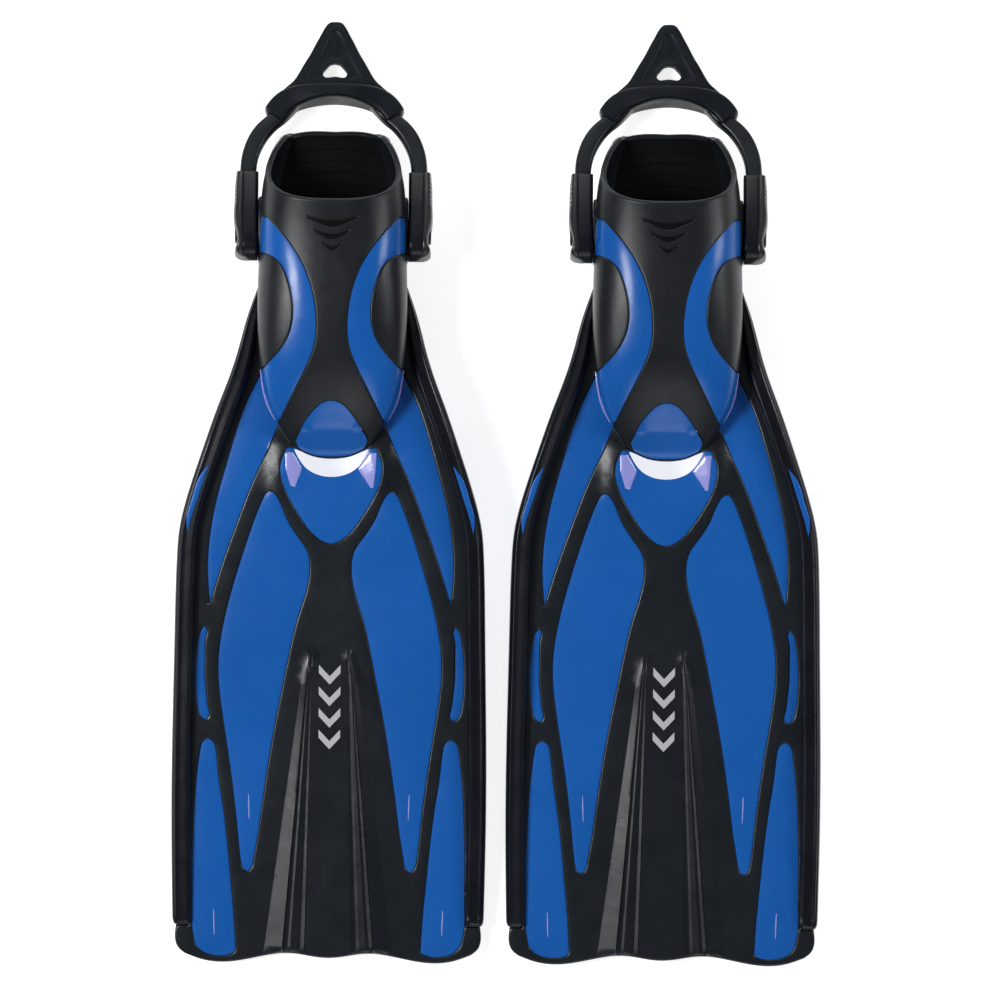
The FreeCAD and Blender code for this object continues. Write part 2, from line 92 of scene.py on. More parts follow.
RAIL_STATIONS = [
    (152, 55.2, 5), (128, 63.5, 9), (105, 69.6, 12), (83, 76.6, 14), (64, 83.8, 14.5),
    (31, 95.2, 14.5), (-6, 107, 14.5), (-28, 112, 14.5), (-50, 113.8, 14.5),
    (-110, 115.2, 14.5), (-228, 116.8, 14.5), (-322, 115.5, 14.5),
]
RAIL_TOP = [
    (152, 40), (128, 49), (100, 55.5), (60, 60.5), (20, 60), (-40, 54.5), (-130, 44), (-240, 31),
    (-322, 18),
]
RAIL_BOTTOM = [
    (152, 27), (128, 24), (100, 28.5), (60, 33), (20, 33.5), (-40, 26.5), (-130, 15.5), (-220, 5.5),
    (-285, 0.2), (-322, 0.2),
]
POCKET_STATIONS = [
    (24.4, 3, 47.6), (25.4, 11, 49.4), (29, 21, 51.6), (35, 29.6, 56), (42, 34.6, 61.5), (52, 41, 68.8),
    (63, 46.8, 75.4), (76, 50.6, 81.8), (90, 52.6, 87.4), (120, 55, 94.5), (150, 55.2, 97.8), (187, 54.3, 98),
    (217, 53.3, 95), (240, 49.6, 91.5), (256, 44, 88.5), (274, 35, 85),
]


# ---- curves and outlines
def spline(points, spacing=2.2):
    """Points along the natural cubic spline through the given points, about spacing apart."""
    p = np.array(points, float)
    if len(p) == 2:
        count = max(1, int(np.ceil(np.linalg.norm(p[1] - p[0]) / spacing)))
        return p[0] + (p[1] - p[0]) * np.linspace(0, 1, count + 1)[:, None]
    t = np.concatenate([[0], np.cumsum(np.linalg.norm(np.diff(p, axis=0), axis=1))])
    return spline_at(t, p, np.linspace(0, t[-1], max(2, int(np.ceil(t[-1] / spacing))) + 1))


def spline_at(t, p, at):
    """The natural cubic spline through (t, p), read at the values at."""
    n = len(t)
    h = np.diff(t)
    system = np.eye(n)
    right = np.zeros((n,) + p.shape[1:])
    for i in range(1, n - 1):
        system[i, i - 1:i + 2] = h[i - 1] / 6, (h[i - 1] + h[i]) / 3, h[i] / 6
        right[i] = (p[i + 1] - p[i]) / h[i] - (p[i] - p[i - 1]) / h[i - 1]
    bend = np.linalg.solve(system, right)
    i = np.clip(np.searchsorted(t, at, side="right") - 1, 0, n - 2)
    shape = (-1,) + (1,) * (p.ndim - 1)
    a = ((t[i + 1] - at) / h[i]).reshape(shape)
    b = ((at - t[i]) / h[i]).reshape(shape)
    step = (h[i] ** 2 / 6).reshape(shape)
    return a * p[i] + b * p[i + 1] + ((a ** 3 - a) * bend[i] + (b ** 3 - b) * bend[i + 1]) * step


def along(pairs):
    """A function of y through (y, value) pairs."""
    ordered = np.array(sorted(pairs), float)
    return lambda y: spline_at(ordered[:, 0], ordered[:, 1], np.atleast_1d(np.asarray(y, float)))


def read(curve, y):
    """One value of such a function."""
    return float(curve(y)[0])


def even(side, count):
    """Evenly numbered points along a curve that is given up to the centre line, and its mirror image."""
    line = spline(side + flip(side)[1:], 1.0)
    at, share = np.linspace(0, 1, len(line)), np.linspace(0, 1, count)
    return np.column_stack([np.interp(share, at, line[:, i]) for i in range(2)])


def superellipse(angle, squareness):
    """Places round a rounded square of half size 1."""
    c, s = np.cos(angle), np.sin(angle)
    power = 2 / squareness
    return np.sign(c) * np.abs(c) ** power, np.sign(s) * np.abs(s) ** power


def section(count, squareness):
    """The same, all the way round."""
    return superellipse(np.linspace(0, 2 * np.pi, count, endpoint=False), squareness)


def outline(stretches, spacing=2.2):
    """A closed loop of points from stretches that share their end points."""
    return np.vstack([spline(stretch, spacing)[:-1] for stretch in stretches])


def flip(points):
    """The points on the other side of the centre line, in reverse order."""
    return [(-x, y) for x, y in reversed(points)]


def flipped(loop):
    """The loop on the other side of the centre line."""
    return loop[::-1] * np.array([-1, 1])


def inside(points, loop):
    """Which points lie inside the closed loop."""
    a, b = loop, np.roll(loop, -1, axis=0)
    result = np.zeros(len(points), bool)
    for start in range(0, len(points), 4000):
        p = points[start:start + 4000, None, :]
        straddle = (a[None, :, 1] > p[:, :, 1]) != (b[None, :, 1] > p[:, :, 1])
        rise = np.where(b[:, 1] == a[:, 1], 1e-12, b[:, 1] - a[:, 1])
        cross = (b[:, 0] - a[:, 0]) * (p[:, :, 1] - a[:, 1]) / rise + a[:, 0]
        result[start:start + 4000] = (np.sum(straddle & (p[:, :, 0] < cross), axis=1) % 2).astype(bool)
    return result


def distance(points, loops):
    """Distance from each point to the nearest of the closed loops."""
    a = np.vstack(loops)
    b = np.vstack([np.roll(loop, -1, axis=0) for loop in loops])
    ab = b - a
    length = np.maximum(np.sum(ab * ab, axis=1), 1e-12)
    result = np.empty(len(points))
    for start in range(0, len(points), 2000):
        p = points[start:start + 2000, None, :]
        t = np.clip(np.sum((p - a) * ab, axis=2) / length, 0, 1)
        gap = p - (a + t[:, :, None] * ab)
        result[start:start + 2000] = np.sqrt(np.min(np.sum(gap * gap, axis=2), axis=1))
    return result


def across(loop):
    """The unit direction across a closed loop at each of its points."""
    tangent = np.roll(loop, -1, axis=0) - np.roll(loop, 1, axis=0)
    tangent /= np.maximum(np.linalg.norm(tangent, axis=1), 1e-9)[:, None]
    return tangent[:, ::-1] * np.array([1, -1])


def inset(loop, amount):
    """The loop moved inwards by amount."""
    normal = across(loop)
    return loop + amount * (normal if inside((loop + 0.3 * normal)[:1], loop)[0] else -normal)


# ---- meshes
def ring_points(loops, offsets):
    """Points beside the loops, at the given offsets to both sides."""
    found = []
    for loop in loops:
        normal = across(loop)
        for offset in offsets:
            for sign in (1, -1):
                found.append(np.column_stack([loop + sign * offset * normal, np.full(len(loop), offset)]))
    return np.vstack(found)


def double_area(flat, triangles):
    """Twice each triangle's area, negative where it runs clockwise."""
    a, b, c = (flat[triangles[:, i]] for i in range(3))
    return (b[:, 0] - a[:, 0]) * (c[:, 1] - a[:, 1]) - (b[:, 1] - a[:, 1]) * (c[:, 0] - a[:, 0])


def triangulate(loops, keep, rings, step, extra=None):
    """Triangles that fill the part of the plane where keep is true. The loops are kept as edges.

    Points lie beside the loops at the distances in rings, further in at the spacing step, and at extra.
    """
    beside = ring_points(loops, rings)
    near = beside[keep(beside[:, :2])]
    near = near[distance(near[:, :2], loops) > 0.9 * near[:, 2], :2]
    everything = np.vstack(loops)
    low, high = everything.min(0), everything.max(0)
    xs = np.arange(low[0], high[0], step)
    ys = np.arange(low[1], high[1], step * 0.866)
    grid = np.array([(x + (step / 2 if j % 2 else 0), y) for j, y in enumerate(ys) for x in xs])
    grid = grid[keep(grid)]
    asked = []
    if extra is not None:
        gap = np.array([np.min(np.sum((extra - p) ** 2, axis=1)) for p in grid])
        grid = grid[gap > (0.35 * step) ** 2]
        extra = extra[keep(extra)]
        asked = [extra[distance(extra, loops) > 0.5]]
    chosen = [near, grid[distance(grid, loops) > max(rings) + 0.45 * step]] + asked
    points, edges = [], []
    for loop in loops:
        start, n = len(points), len(loop)
        points += [Vector(p) for p in loop]
        edges += [(start + i, start + (i + 1) % n) for i in range(n)]
    points += [Vector(p) for p in np.vstack(chosen)]
    found = delaunay_2d_cdt(points, edges, [], 0, 1e-5)
    flat = np.array([tuple(v) for v in found[0]])
    triangles = np.array([f for f in found[2] if len(f) == 3])
    triangles = triangles[keep(flat[triangles].mean(axis=1))]
    used = np.unique(triangles)
    renumber = np.full(len(flat), -1)
    renumber[used] = np.arange(len(used))
    flat, triangles = flat[used], renumber[triangles]
    triangles = triangles[np.abs(double_area(flat, triangles)) > 1e-7]
    below = double_area(flat, triangles) < 0
    triangles[below] = triangles[below][:, ::-1]
    return flat, triangles


def plug(loop, rings, step, top, bottom):
    """A solid over one loop. top and bottom map the plan, given with its distance from the loop."""
    flat, triangles = triangulate([loop], lambda p: inside(p, loop), rings, step)
    d = distance(flat, [loop])
    return slab(flat, triangles, lambda p: top(p, d), lambda p: bottom(p, d))


def rim_edges(triangles):
    """The directed edges that only one triangle has."""
    seen = {(t[i], t[(i + 1) % 3]) for t in triangles.tolist() for i in range(3)}
    return [(a, b) for a, b in seen if (b, a) not in seen]


def slab(flat, triangles, top, bottom, keep=None):
    """A closed solid between two mapped faces. With keep, its hidden bottom has few triangles."""
    edges = rim_edges(triangles)
    n = len(flat)
    border = sorted({v for edge in edges for v in edge})
    place = {v: i for i, v in enumerate(border)}
    points = flat[border]
    found = None
    if keep is not None:
        links = [(place[a], place[b]) for a, b in edges]
        found = delaunay_2d_cdt([Vector(p) for p in points], links, [], 0, 1e-7)
    if found is None or len(found[0]) != len(points):
        faces = triangles.tolist() + (triangles[:, ::-1] + n).tolist()
        return np.vstack([top(flat), bottom(flat)]), faces + [(a, a + n, b + n, b) for a, b in edges]
    order = [ids[0] for ids in found[3]]
    cap = np.array([[order[i] for i in f] for f in found[2] if len(f) == 3])
    cap = cap[keep(points[cap].mean(axis=1))]
    above = double_area(points, cap) > 0
    cap[above] = cap[above][:, ::-1]
    faces = triangles.tolist() + (cap + n).tolist()
    faces += [(a, place[a] + n, place[b] + n, b) for a, b in edges]
    return np.vstack([top(flat), bottom(points)]), faces


def grid_mesh(rows, caps=True):
    """A skin over rows of points that run round the section, with its ends closed by fans."""
    rows = np.array(rows, float)
    count, around = rows.shape[:2]
    verts = rows.reshape(-1, 3)
    faces = []
    for i in range(count - 1):
        for j in range(around):
            k = (j + 1) % around
            faces.append((i * around + j, i * around + k, (i + 1) * around + k, (i + 1) * around + j))
    if caps:
        first, last = len(verts), len(verts) + 1
        verts = np.vstack([verts, rows[0].mean(0), rows[-1].mean(0)])
        base = (count - 1) * around
        for j in range(around):
            k = (j + 1) % around
            faces += [(first, k, j), (last, base + j, base + k)]
    return verts, faces


def merge(*meshes):
    """Several meshes as one."""
    verts, faces, start = [], [], 0
    for v, f in meshes:
        verts.append(np.asarray(v, float))
        faces += [tuple(int(i) + start for i in face) for face in f]
        start += len(v)
    return np.vstack(verts), faces


def turned(mesh):
    """The mesh with its faces turned round."""
    return mesh[0], [tuple(reversed(f)) for f in mesh[1]]


def mirror_mesh(mesh):
    """The mesh on the other side of the centre line."""
    return turned((np.asarray(mesh[0]) * np.array([-1, 1, 1]), mesh[1]))


def tube(path, radius, sides=10, closed=False):
    """A round bead along a path."""
    path = np.asarray(path, float)
    tangent = np.gradient(path, axis=0)
    if closed:
        tangent = np.roll(path, -1, axis=0) - np.roll(path, 1, axis=0)
    tangent /= np.linalg.norm(tangent, axis=1)[:, None]
    up = np.array([0.0, 0.0, 1.0])
    one = np.cross(tangent, up)
    one /= np.maximum(np.linalg.norm(one, axis=1), 1e-6)[:, None]
    two = np.cross(one, tangent)
    angle = np.linspace(0, 2 * np.pi, sides, endpoint=False)
    radii = np.broadcast_to(radius, (len(path),))
    rows = path[:, None] + radii[:, None, None] * (
        np.cos(angle)[None, :, None] * one[:, None] + np.sin(angle)[None, :, None] * two[:, None])
    if closed:
        rows = np.vstack([rows, rows[:1]])
        verts, faces = grid_mesh(rows, caps=False)
        n = len(path) * sides
        return verts[:n], [tuple(i % n for i in f) for f in faces]
    return grid_mesh(rows)


def soft_rib(line, radius, power):
    """A bead along a line, thin at both ends."""
    return tube(line, radius * np.sin(np.linspace(0.3, 2.84, len(line))) ** power, 8)


SHARP = math.radians(38)


def piece(name, mesh, material, fin):
    """A Blender object on one fin, from a mesh in millimetres about the fin's centre line."""
    verts, faces = mesh
    data = bpy.data.meshes.new(f"{fin}_{name}")
    placed = np.asarray(verts, float) * MM + np.array([FIN_X[fin], 0, 0])
    data.from_pydata(placed.tolist(), [], [tuple(int(i) for i in f) for f in faces])
    data.validate()
    data.polygons.foreach_set("use_smooth", [True] * len(data.polygons))
    data.set_sharp_from_angle(angle=SHARP)
    data.materials.append(material)
    obj = bpy.data.objects.new(f"{fin}_{name}", data)
    bpy.context.scene.collection.objects.link(obj)
    return obj


def add(name, mesh, material, body="fin", nodes=()):
    """The piece on both fins, riding on its body and standing for its CAD nodes."""
    for fin in FINS:
        obj = piece(name, mesh, material, fin)
        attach(obj, f"{fin}_{body}")
        if nodes:
            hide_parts(*[f"{fin}_{node}" for node in nodes])


def round_edge(d, radius):
    """From 0 at an edge to 1 inside, along a quarter circle."""
    t = np.clip(d / radius, 0, 1)
    return np.sqrt(np.clip(1 - (1 - t) ** 2, 0, 1))


def smooth_step(value, low, high):
    """From 0 at low to 1 at high, level at both ends."""
    t = np.clip((value - low) / (high - low), 0, 1)
    return t * t * (3 - 2 * t)


# ---- the floor line of a fin
KNEE_TANGENT = KNEE_RADIUS * math.tan((SOLE_ANGLE + BLADE_ANGLE) / 2)
ARC_HEEL_Y = KNEE_Y + KNEE_TANGENT * math.cos(SOLE_ANGLE)
ARC_TIP_Y = KNEE_Y - KNEE_TANGENT * math.cos(BLADE_ANGLE)
ARC_Y = ARC_HEEL_Y - KNEE_RADIUS * math.sin(SOLE_ANGLE)
ARC_Z = KNEE_Z - KNEE_TANGENT * math.sin(SOLE_ANGLE) - KNEE_RADIUS * math.cos(SOLE_ANGLE)


def floor_z(y):
    """Height of the blade's and the sole's upper face at y."""
    y = np.asarray(y, float)
    arc = ARC_Z + np.sqrt(np.maximum(KNEE_RADIUS ** 2 - (y - ARC_Y) ** 2, 0))
    heel = KNEE_Z - (y - KNEE_Y) * math.tan(SOLE_ANGLE)
    tip = KNEE_Z - (KNEE_Y - y) * math.tan(BLADE_ANGLE)
    return np.where(y > ARC_HEEL_Y, heel, np.where(y < ARC_TIP_Y, tip, arc))


def on_floor(flat, height):
    """Points of the plan set above the floor line by height, along its normal."""
    y = flat[:, 1]
    slope = floor_z(y + 0.5) - floor_z(y - 0.5)
    norm = np.sqrt(1 + slope ** 2)
    return np.column_stack([flat[:, 0], y - height * slope / norm, floor_z(y) + height / norm])


# ---- blade outlines, in plan
RAIL_OUTER = [(x, y) for y, x, width in RAIL_STATIONS]
RAIL_INNER = [(x - width, y) for y, x, width in RAIL_STATIONS]
TIP_CORNER = [(112.8, RAIL_INNER[-1][1]), (113.6, -331), (111.4, -338.5), (106, -343.2)]
TIP_EDGE = [(106, -343.2), (92, -348), (75, -349.3), (55, -346.2), (27, -342.7), (10, -345.2), (0, -346)]
RAIL_LAP = 1.6
LAP = [RAIL_INNER[0]] + [(x + RAIL_LAP, y) for x, y in RAIL_INNER[1:]]
BLADE = outline([
    LAP, [LAP[-1], TIP_CORNER[0]], TIP_CORNER, TIP_EDGE + flip(TIP_EDGE)[1:], flip(TIP_CORNER),
    flip([LAP[-1], TIP_CORNER[0]]), flip(LAP), flip([LAP[0], (-LAP[0][0], LAP[0][1])]),
])
VENT = outline([
    [(27, 31), (14, 26.3), (0, 24.6), (-14, 26.3), (-27, 31)],
    [(-27, 31), (-18, 17.6), (0, 11.5), (18, 17.6), (27, 31)],
], 1.2)
SHIELD_SIDE = [(33, 32), (37.6, 19), (36, 7), (30.3, -6), (21.8, -20), (11, -33), (0, -38)]
SHIELD = outline([SHIELD_SIDE + flip(SHIELD_SIDE)[1:], [(-33, 32), (33, 32)]], 1.8)
UPPER_PANEL = outline([
    [(50, 91), (61.8, 68), (76.2, 24), (84.4, -6), (89.5, -35), (90.6, -62), (89, -82)],
    [(89, -82), (79.2, -50), (68.5, -20), (57.4, 9), (47.4, 31), (37.7, 54), (27, 76), (19.6, 91)],
    [(19.6, 91), (50, 91)],
])
LARGE_PANEL = outline([[
    (52.5, -253.4), (56, -274.2), (57.6, -279.4), (60.4, -281.6), (63.2, -279.4), (64.9, -274),
    (67.2, -253.4), (70.7, -222.4), (75.1, -191.3), (79.9, -160), (82.3, -138), (82, -118.8), (78.9, -98),
    (70.3, -64), (61.1, -34.4), (49.9, -4.8), (47.6, -1.2), (45, 0), (42.4, -1.2), (39.6, -4.8),
    (33.1, -19.6), (23.8, -34.4), (17.6, -44), (15.6, -55), (17, -69), (24.2, -93.6), (32.2, -129),
    (40.3, -170.6), (47, -212), (52.5, -253.4),
]], 1.9)
THIN_PANEL = outline([
    [(93, -100.2), (95, -102.6), (96.8, -108.4), (98.2, -118.8), (99.1, -131), (98.9, -146), (97.5, -160),
     (94.6, -167.4), (91.8, -169.4)],
    [(91.8, -169.4), (89.6, -166.6), (90.3, -160), (91.6, -149.8), (92.7, -139), (92.8, -120), (92.2, -108),
     (91.6, -102), (93, -100.2)],
], 1.6)
LOWER_PANEL = outline([
    [(90, -183.4), (86.4, -185.4), (84.3, -191.3), (82, -212), (78.8, -232.7), (76.2, -253.4), (74, -274.2),
     (72.1, -294.9), (70, -318), (69, -336.3)],
    [(69, -336.3), (69.4, -341.5), (73, -343.6), (84, -344.2), (93, -341.5), (98.4, -336)],
    [(98.4, -336), (100.4, -326), (100.7, -305), (100.7, -274), (100.2, -253.4), (99.4, -232.7), (98, -212),
     (95.4, -191.3), (93.4, -185.4), (90, -183.4)],
], 1.9)
SIDE_PANELS = (UPPER_PANEL, LARGE_PANEL, THIN_PANEL, LOWER_PANEL)
PANELS = [panel for side in SIDE_PANELS for panel in (side, flipped(side))] + [SHIELD]
RAIL_WINDOW = outline([
    [(90, 20), (93.6, 9), (98.4, -6), (102.9, -20), (105.5, -31)],
    [(105.5, -31), (106.6, -20), (102.9, -6), (98, 9), (90, 20)],
], 1.5)

# The folded flutes of the centre column fan out from FAN_TOP_Y to the tip. Across the fan the folds are a
# broken line of (share of the fan's width, height).
FAN_TOP_Y, FAN_TIP_Y = -114.0, -345.0
FAN_INNER = (12.6, 17.2)
FAN_OUTER = (17.0, 48.2)
FAN_FOLDS = [
    (0, 0), (0.02, 0.9), (0.12, 0), (0.20, 0.7), (0.36, 1.3), (0.435, 0.7), (0.53, 1.5), (0.565, 3.8),
    (1, 0),
]


def fan_place(y):
    """How far down the fan y is, and the fan's inner and outer edge there."""
    t = np.clip((FAN_TOP_Y - y) / (FAN_TOP_Y - FAN_TIP_Y), 0, 1)
    inner = FAN_INNER[0] + (FAN_INNER[1] - FAN_INNER[0]) * t
    return t, inner, FAN_OUTER[0] + (FAN_OUTER[1] - FAN_OUTER[0]) * t


def flutes(flat):
    """Height of the flutes over the plan."""
    t, inner, outer = fan_place(flat[:, 1])
    share = (np.abs(flat[:, 0]) - inner) / (outer - inner)
    folds = np.interp(share, *zip(*FAN_FOLDS))
    return folds * smooth_step(t, 0, 0.1) * (0.42 + 0.58 * t) * (flat[:, 1] < FAN_TOP_Y)


FLUTE_SPACING = 2.8
FINE_FROM = 0.12
FAN_SHARES = sorted([0.07, 0.28, 0.48, 0.68, 0.78, 0.89]
                    + [share + step for share, height in FAN_FOLDS for step in (-0.014, 0, 0.014)])


def flute_points():
    """Extra points along the folds, so that their edges are sharp."""
    found = []
    for y in np.arange(FAN_TIP_Y, FAN_TOP_Y, FLUTE_SPACING):
        t, inner, outer = fan_place(y)
        for share in FAN_SHARES if t > FINE_FROM else [share for share, height in FAN_FOLDS]:
            x = inner + share * (outer - inner)
            found += [(x, y), (-x, y)]
    return np.array(found)


SCOOP_RISE = 3.2


def scoop(flat):
    """The blade turns up at both sides of the vent."""
    x, y = np.abs(flat[:, 0]), flat[:, 1]
    out = np.clip((x - 19 - 0.25 * (20 - y)) / 13, 0, 1) * smooth_step(50 - x, 0, 12)
    return SCOOP_RISE * out * np.clip((y + 12) / 26, 0, 1) * smooth_step(46 - y, 0, 14)


def crown(d):
    """The blue panels swell a little inside their frames."""
    return 0.15 + 0.75 * (1 - np.exp(-d / 5.0))


def in_panels(points):
    """Which points lie in one of the blue panels."""
    hit = np.zeros(len(points), bool)
    for panel in PANELS:
        hit |= inside(points, panel)
    return hit


RIBS = [(59.6, -224, -243), (85, -310, -329)]


def build_plate():
    """The blue blade plate, crowned in every window of the rubber."""
    edge, hole = inset(BLADE, 0.7), inset(VENT, -0.5)

    def keep(p):
        return inside(p, edge) & ~inside(p, hole)

    flat, triangles = triangulate([edge, hole] + PANELS, keep, (0.9, 2.6), 7.0)
    swell = crown(np.where(in_panels(flat), distance(flat, PANELS), 0))
    return slab(flat, triangles, lambda p: on_floor(p, swell + scoop(p)),
                lambda p: on_floor(p, -PLATE - swell + scoop(p)))


def build_ribs():
    """Short fine ribs on the blue panels near the tip, coloured pale as a painted highlight."""
    lines = [spline([(sign * x, y0), (sign * (x - 0.6), y1)], 2) for x, y0, y1 in RIBS for sign in (1, -1)]
    return merge(*[soft_rib(on_floor(line, 0.85), 0.55, 0.6) for line in lines])


def build_bands():
    """The rubber over the plate's top and under it."""
    edges = [BLADE, VENT] + PANELS

    def keep(p):
        return inside(p, BLADE) & ~inside(p, VENT) & ~in_panels(p)

    def hidden(p):
        """Height of the hidden face, which closes round the plate's edge."""
        return np.where(distance(p, [BLADE, VENT]) < 0.3, -PLATE / 2, -0.1)

    flat, triangles = triangulate(edges, keep, (0.12, 0.45, 0.9, 1.5), 6.0, flute_points())
    d = distance(flat, edges)
    rise = BAND * round_edge(d, BAND_ROUND) + flutes(flat) * np.clip(d / 3, 0, 1)
    upper = slab(flat, triangles, lambda p: on_floor(p, rise + scoop(p)),
                 lambda p: on_floor(p, hidden(p) + scoop(p)), keep)
    flat, triangles = triangulate(edges, keep, (0.45, 1.5), 8.0)
    drop = -PLATE - BAND * round_edge(distance(flat, edges), BAND_ROUND)
    lower = slab(flat, triangles, lambda p: on_floor(p, drop + scoop(p)),
                 lambda p: on_floor(p, -PLATE - hidden(p) + scoop(p)), keep)
    return upper, turned(lower)


# ---- side rails
RAIL_OUT, RAIL_IN = along([(y, x) for x, y in RAIL_OUTER]), along([(y, x) for x, y in RAIL_INNER])
RAIL_HIGH, RAIL_LOW = along(RAIL_TOP), along(RAIL_BOTTOM)
RAIL_SQUARENESS = 5.0
RAIL_RIDGES = (-0.42, 0.1, 0.58)
RAIL_TIP = [(-318.5, 0.97), (-320.5, 0.88), (-321.6, 0.72), (-322, 0.5)]


def rail_top(x, y):
    """Where a place in plan lies across a rail, from -1 to 1, and the height of the rail's top there."""
    centre, half = (RAIL_OUT(y) + RAIL_IN(y)) / 2, (RAIL_OUT(y) - RAIL_IN(y)) / 2
    middle, rise = (RAIL_HIGH(y) + RAIL_LOW(y)) / 2, (RAIL_HIGH(y) - RAIL_LOW(y)) / 2
    share = np.clip((x - centre) / half, -1, 1)
    square = np.maximum(1 - np.abs(share) ** RAIL_SQUARENESS, 0)
    return share, middle + rise * np.power(square, 1 / RAIL_SQUARENESS)


def rail_crest(x, y):
    """The rail's top with dips between its ridges."""
    share, top = rail_top(x, y)
    ridge = sum(np.exp(-((share - at) / 0.11) ** 2) for at in RAIL_RIDGES)
    return top - 0.9 * (1 - np.clip(ridge, 0, 1)) * np.clip((1 - np.abs(share)) * 5, 0, 1)


def build_rail():
    """One side rail: a rounded bar with three fine ridges along its top."""
    full = [(y, 1) for y in np.arange(RAIL_STATIONS[0][0], RAIL_TIP[0][0] + 0.5, -4.0)]
    wide, up = section(84, RAIL_SQUARENESS)
    rows = []
    for y, share in full + RAIL_TIP:
        outer, inner = read(RAIL_OUT, y), read(RAIL_IN, y)
        high, low = read(RAIL_HIGH, y), read(RAIL_LOW, y)
        x = (outer + inner) / 2 + share * wide * (outer - inner) / 2
        z = np.maximum((high + low) / 2 + up * (high - low) / 2 * (0.5 + 0.5 * share), 0.05)
        ridged = (up > 0.2) & (share == 1)
        z = np.where(ridged, np.minimum(z, rail_crest(x, np.full(len(x), y))), z)
        x = x - np.sign(wide) * 0.6 * share * np.clip(1 - np.abs(up) / 0.5, 0, 1)
        rows.append(np.column_stack([x, np.full(len(x), y), z]))
    return grid_mesh(rows)


def build_rail_insert():
    """The blue strip on one rail's top."""
    def face(p, rise):
        return np.column_stack([p, rail_top(p[:, 0], p[:, 1])[1] + rise])

    return plug(RAIL_WINDOW, (0.3, 0.9), 2.5, lambda p, d: face(p, 0.1 + 0.45 * round_edge(d, 1.0)),
                lambda p, d: face(p, -2.5))


# ---- foot pocket
# A place on the pocket is (u, v): u runs round the section in millimetres, v along the instep from the toe.
STATIONS = np.array(POCKET_STATIONS, float)
STATION_V = np.concatenate([[0], np.cumsum(np.linalg.norm(np.diff(STATIONS, axis=0), axis=1))])
V_TABLE = np.linspace(0, STATION_V[-1], 600)
LINE_TABLE = spline_at(STATION_V, STATIONS, V_TABLE)
Y_TABLE = np.maximum.accumulate(LINE_TABLE[:, 0])
BASE_ANGLE = -math.asin((POCKET_CENTRE / (1 - POCKET_CENTRE)) ** (SQUARENESS / 2))
ANGLE_TABLE = np.linspace(-math.pi / 2, 3 * math.pi / 2, 2881)


def arc_table():
    """Length round a reference section, zero over the instep's middle."""
    wide, up = superellipse(ANGLE_TABLE, SQUARENESS)
    steps = np.hypot(np.diff(wide * 52), np.diff(up * 40))
    length = np.concatenate([[0], np.cumsum(steps)])
    return np.interp(math.pi / 2, ANGLE_TABLE, length) - length


U_TABLE = arc_table()
U_BASE = float(np.interp(BASE_ANGLE, ANGLE_TABLE, U_TABLE))


def line_at(v):
    """The pocket's y, half width and top height at v."""
    v = np.clip(v, 0, STATION_V[-1])
    return [np.interp(v, V_TABLE, LINE_TABLE[:, i]) for i in range(3)]


def pocket_point(u, v, depth=0.0):
    """The pocket's skin at (u, v), depth below its outer face, measured in the section."""
    y, half, top = line_at(v)
    wide, up = superellipse(np.interp(-u, -U_TABLE, ANGLE_TABLE), SQUARENESS)
    width = np.maximum(half - depth, 0.3)
    height = np.maximum(top - floor_z(y) - depth, 0.3)
    centre = floor_z(y) + POCKET_CENTRE * height
    return np.column_stack([width * wide, y, centre + (1 - POCKET_CENTRE) * height * up])


def on_pocket(flat, rise):
    """Points on the pocket's outer face, raised along its normal."""
    u, v = flat[:, 0], flat[:, 1]
    step = 0.8
    du = pocket_point(u + step, v) - pocket_point(u - step, v)
    dv = pocket_point(u, np.minimum(v + step, STATION_V[-1])) - pocket_point(u, np.maximum(v - step, 0))
    normal = np.cross(dv, du)
    normal /= np.maximum(np.linalg.norm(normal, axis=1), 1e-9)[:, None]
    y = line_at(v)[0]
    outward = pocket_point(u, v) - np.column_stack([np.zeros(len(u)), y, floor_z(y) + 20])
    facing = np.where(np.sum(normal[:, [0, 2]] * outward[:, [0, 2]], axis=1) < 0, -1.0, 1.0)
    return pocket_point(u, v) + normal * (facing * rise)[:, None]


def in_pocket(depth):
    """The face inside the pocket's skin, depth below its outer face."""
    return lambda p, d=0: pocket_point(p[:, 0], p[:, 1], depth)


def to_pocket(points):
    """(u, v) of places on the pocket's upper half given in plan."""
    p = np.array(points, float)
    v = np.interp(p[:, 1], Y_TABLE, V_TABLE)
    half = line_at(v)[1]
    share = np.clip(np.abs(p[:, 0]) / half, 0, 1)
    angle = np.arccos(share ** (SQUARENESS / 2))
    u = np.interp(angle, ANGLE_TABLE, U_TABLE)
    return np.column_stack([np.sign(p[:, 0]) * u, v])


def v_of(y):
    """The v at which the instep's line reaches y."""
    return float(np.interp(y, Y_TABLE, V_TABLE))


HEEL_SETBACK = 3.4


def rim_v(u):
    """Where the slanted opening cuts the pocket, for each u."""
    lean = (HEEL_Y - RIM_TOP_Y) / (RIM_TOP_Z - RIM_HEEL_Z)
    found = []
    for one in np.atleast_1d(u):
        p = pocket_point(np.full(len(V_TABLE), one), V_TABLE)
        past = np.maximum(p[:, 1] + (p[:, 2] - RIM_HEEL_Z) * lean - HEEL_Y, p[:, 1] - HEEL_Y + HEEL_SETBACK)
        found.append(np.interp(0, past, V_TABLE))
    return np.array(found)


U_SIDE = float(np.interp(0, ANGLE_TABLE, U_TABLE))
U_FRAME = U_SIDE + 14.0


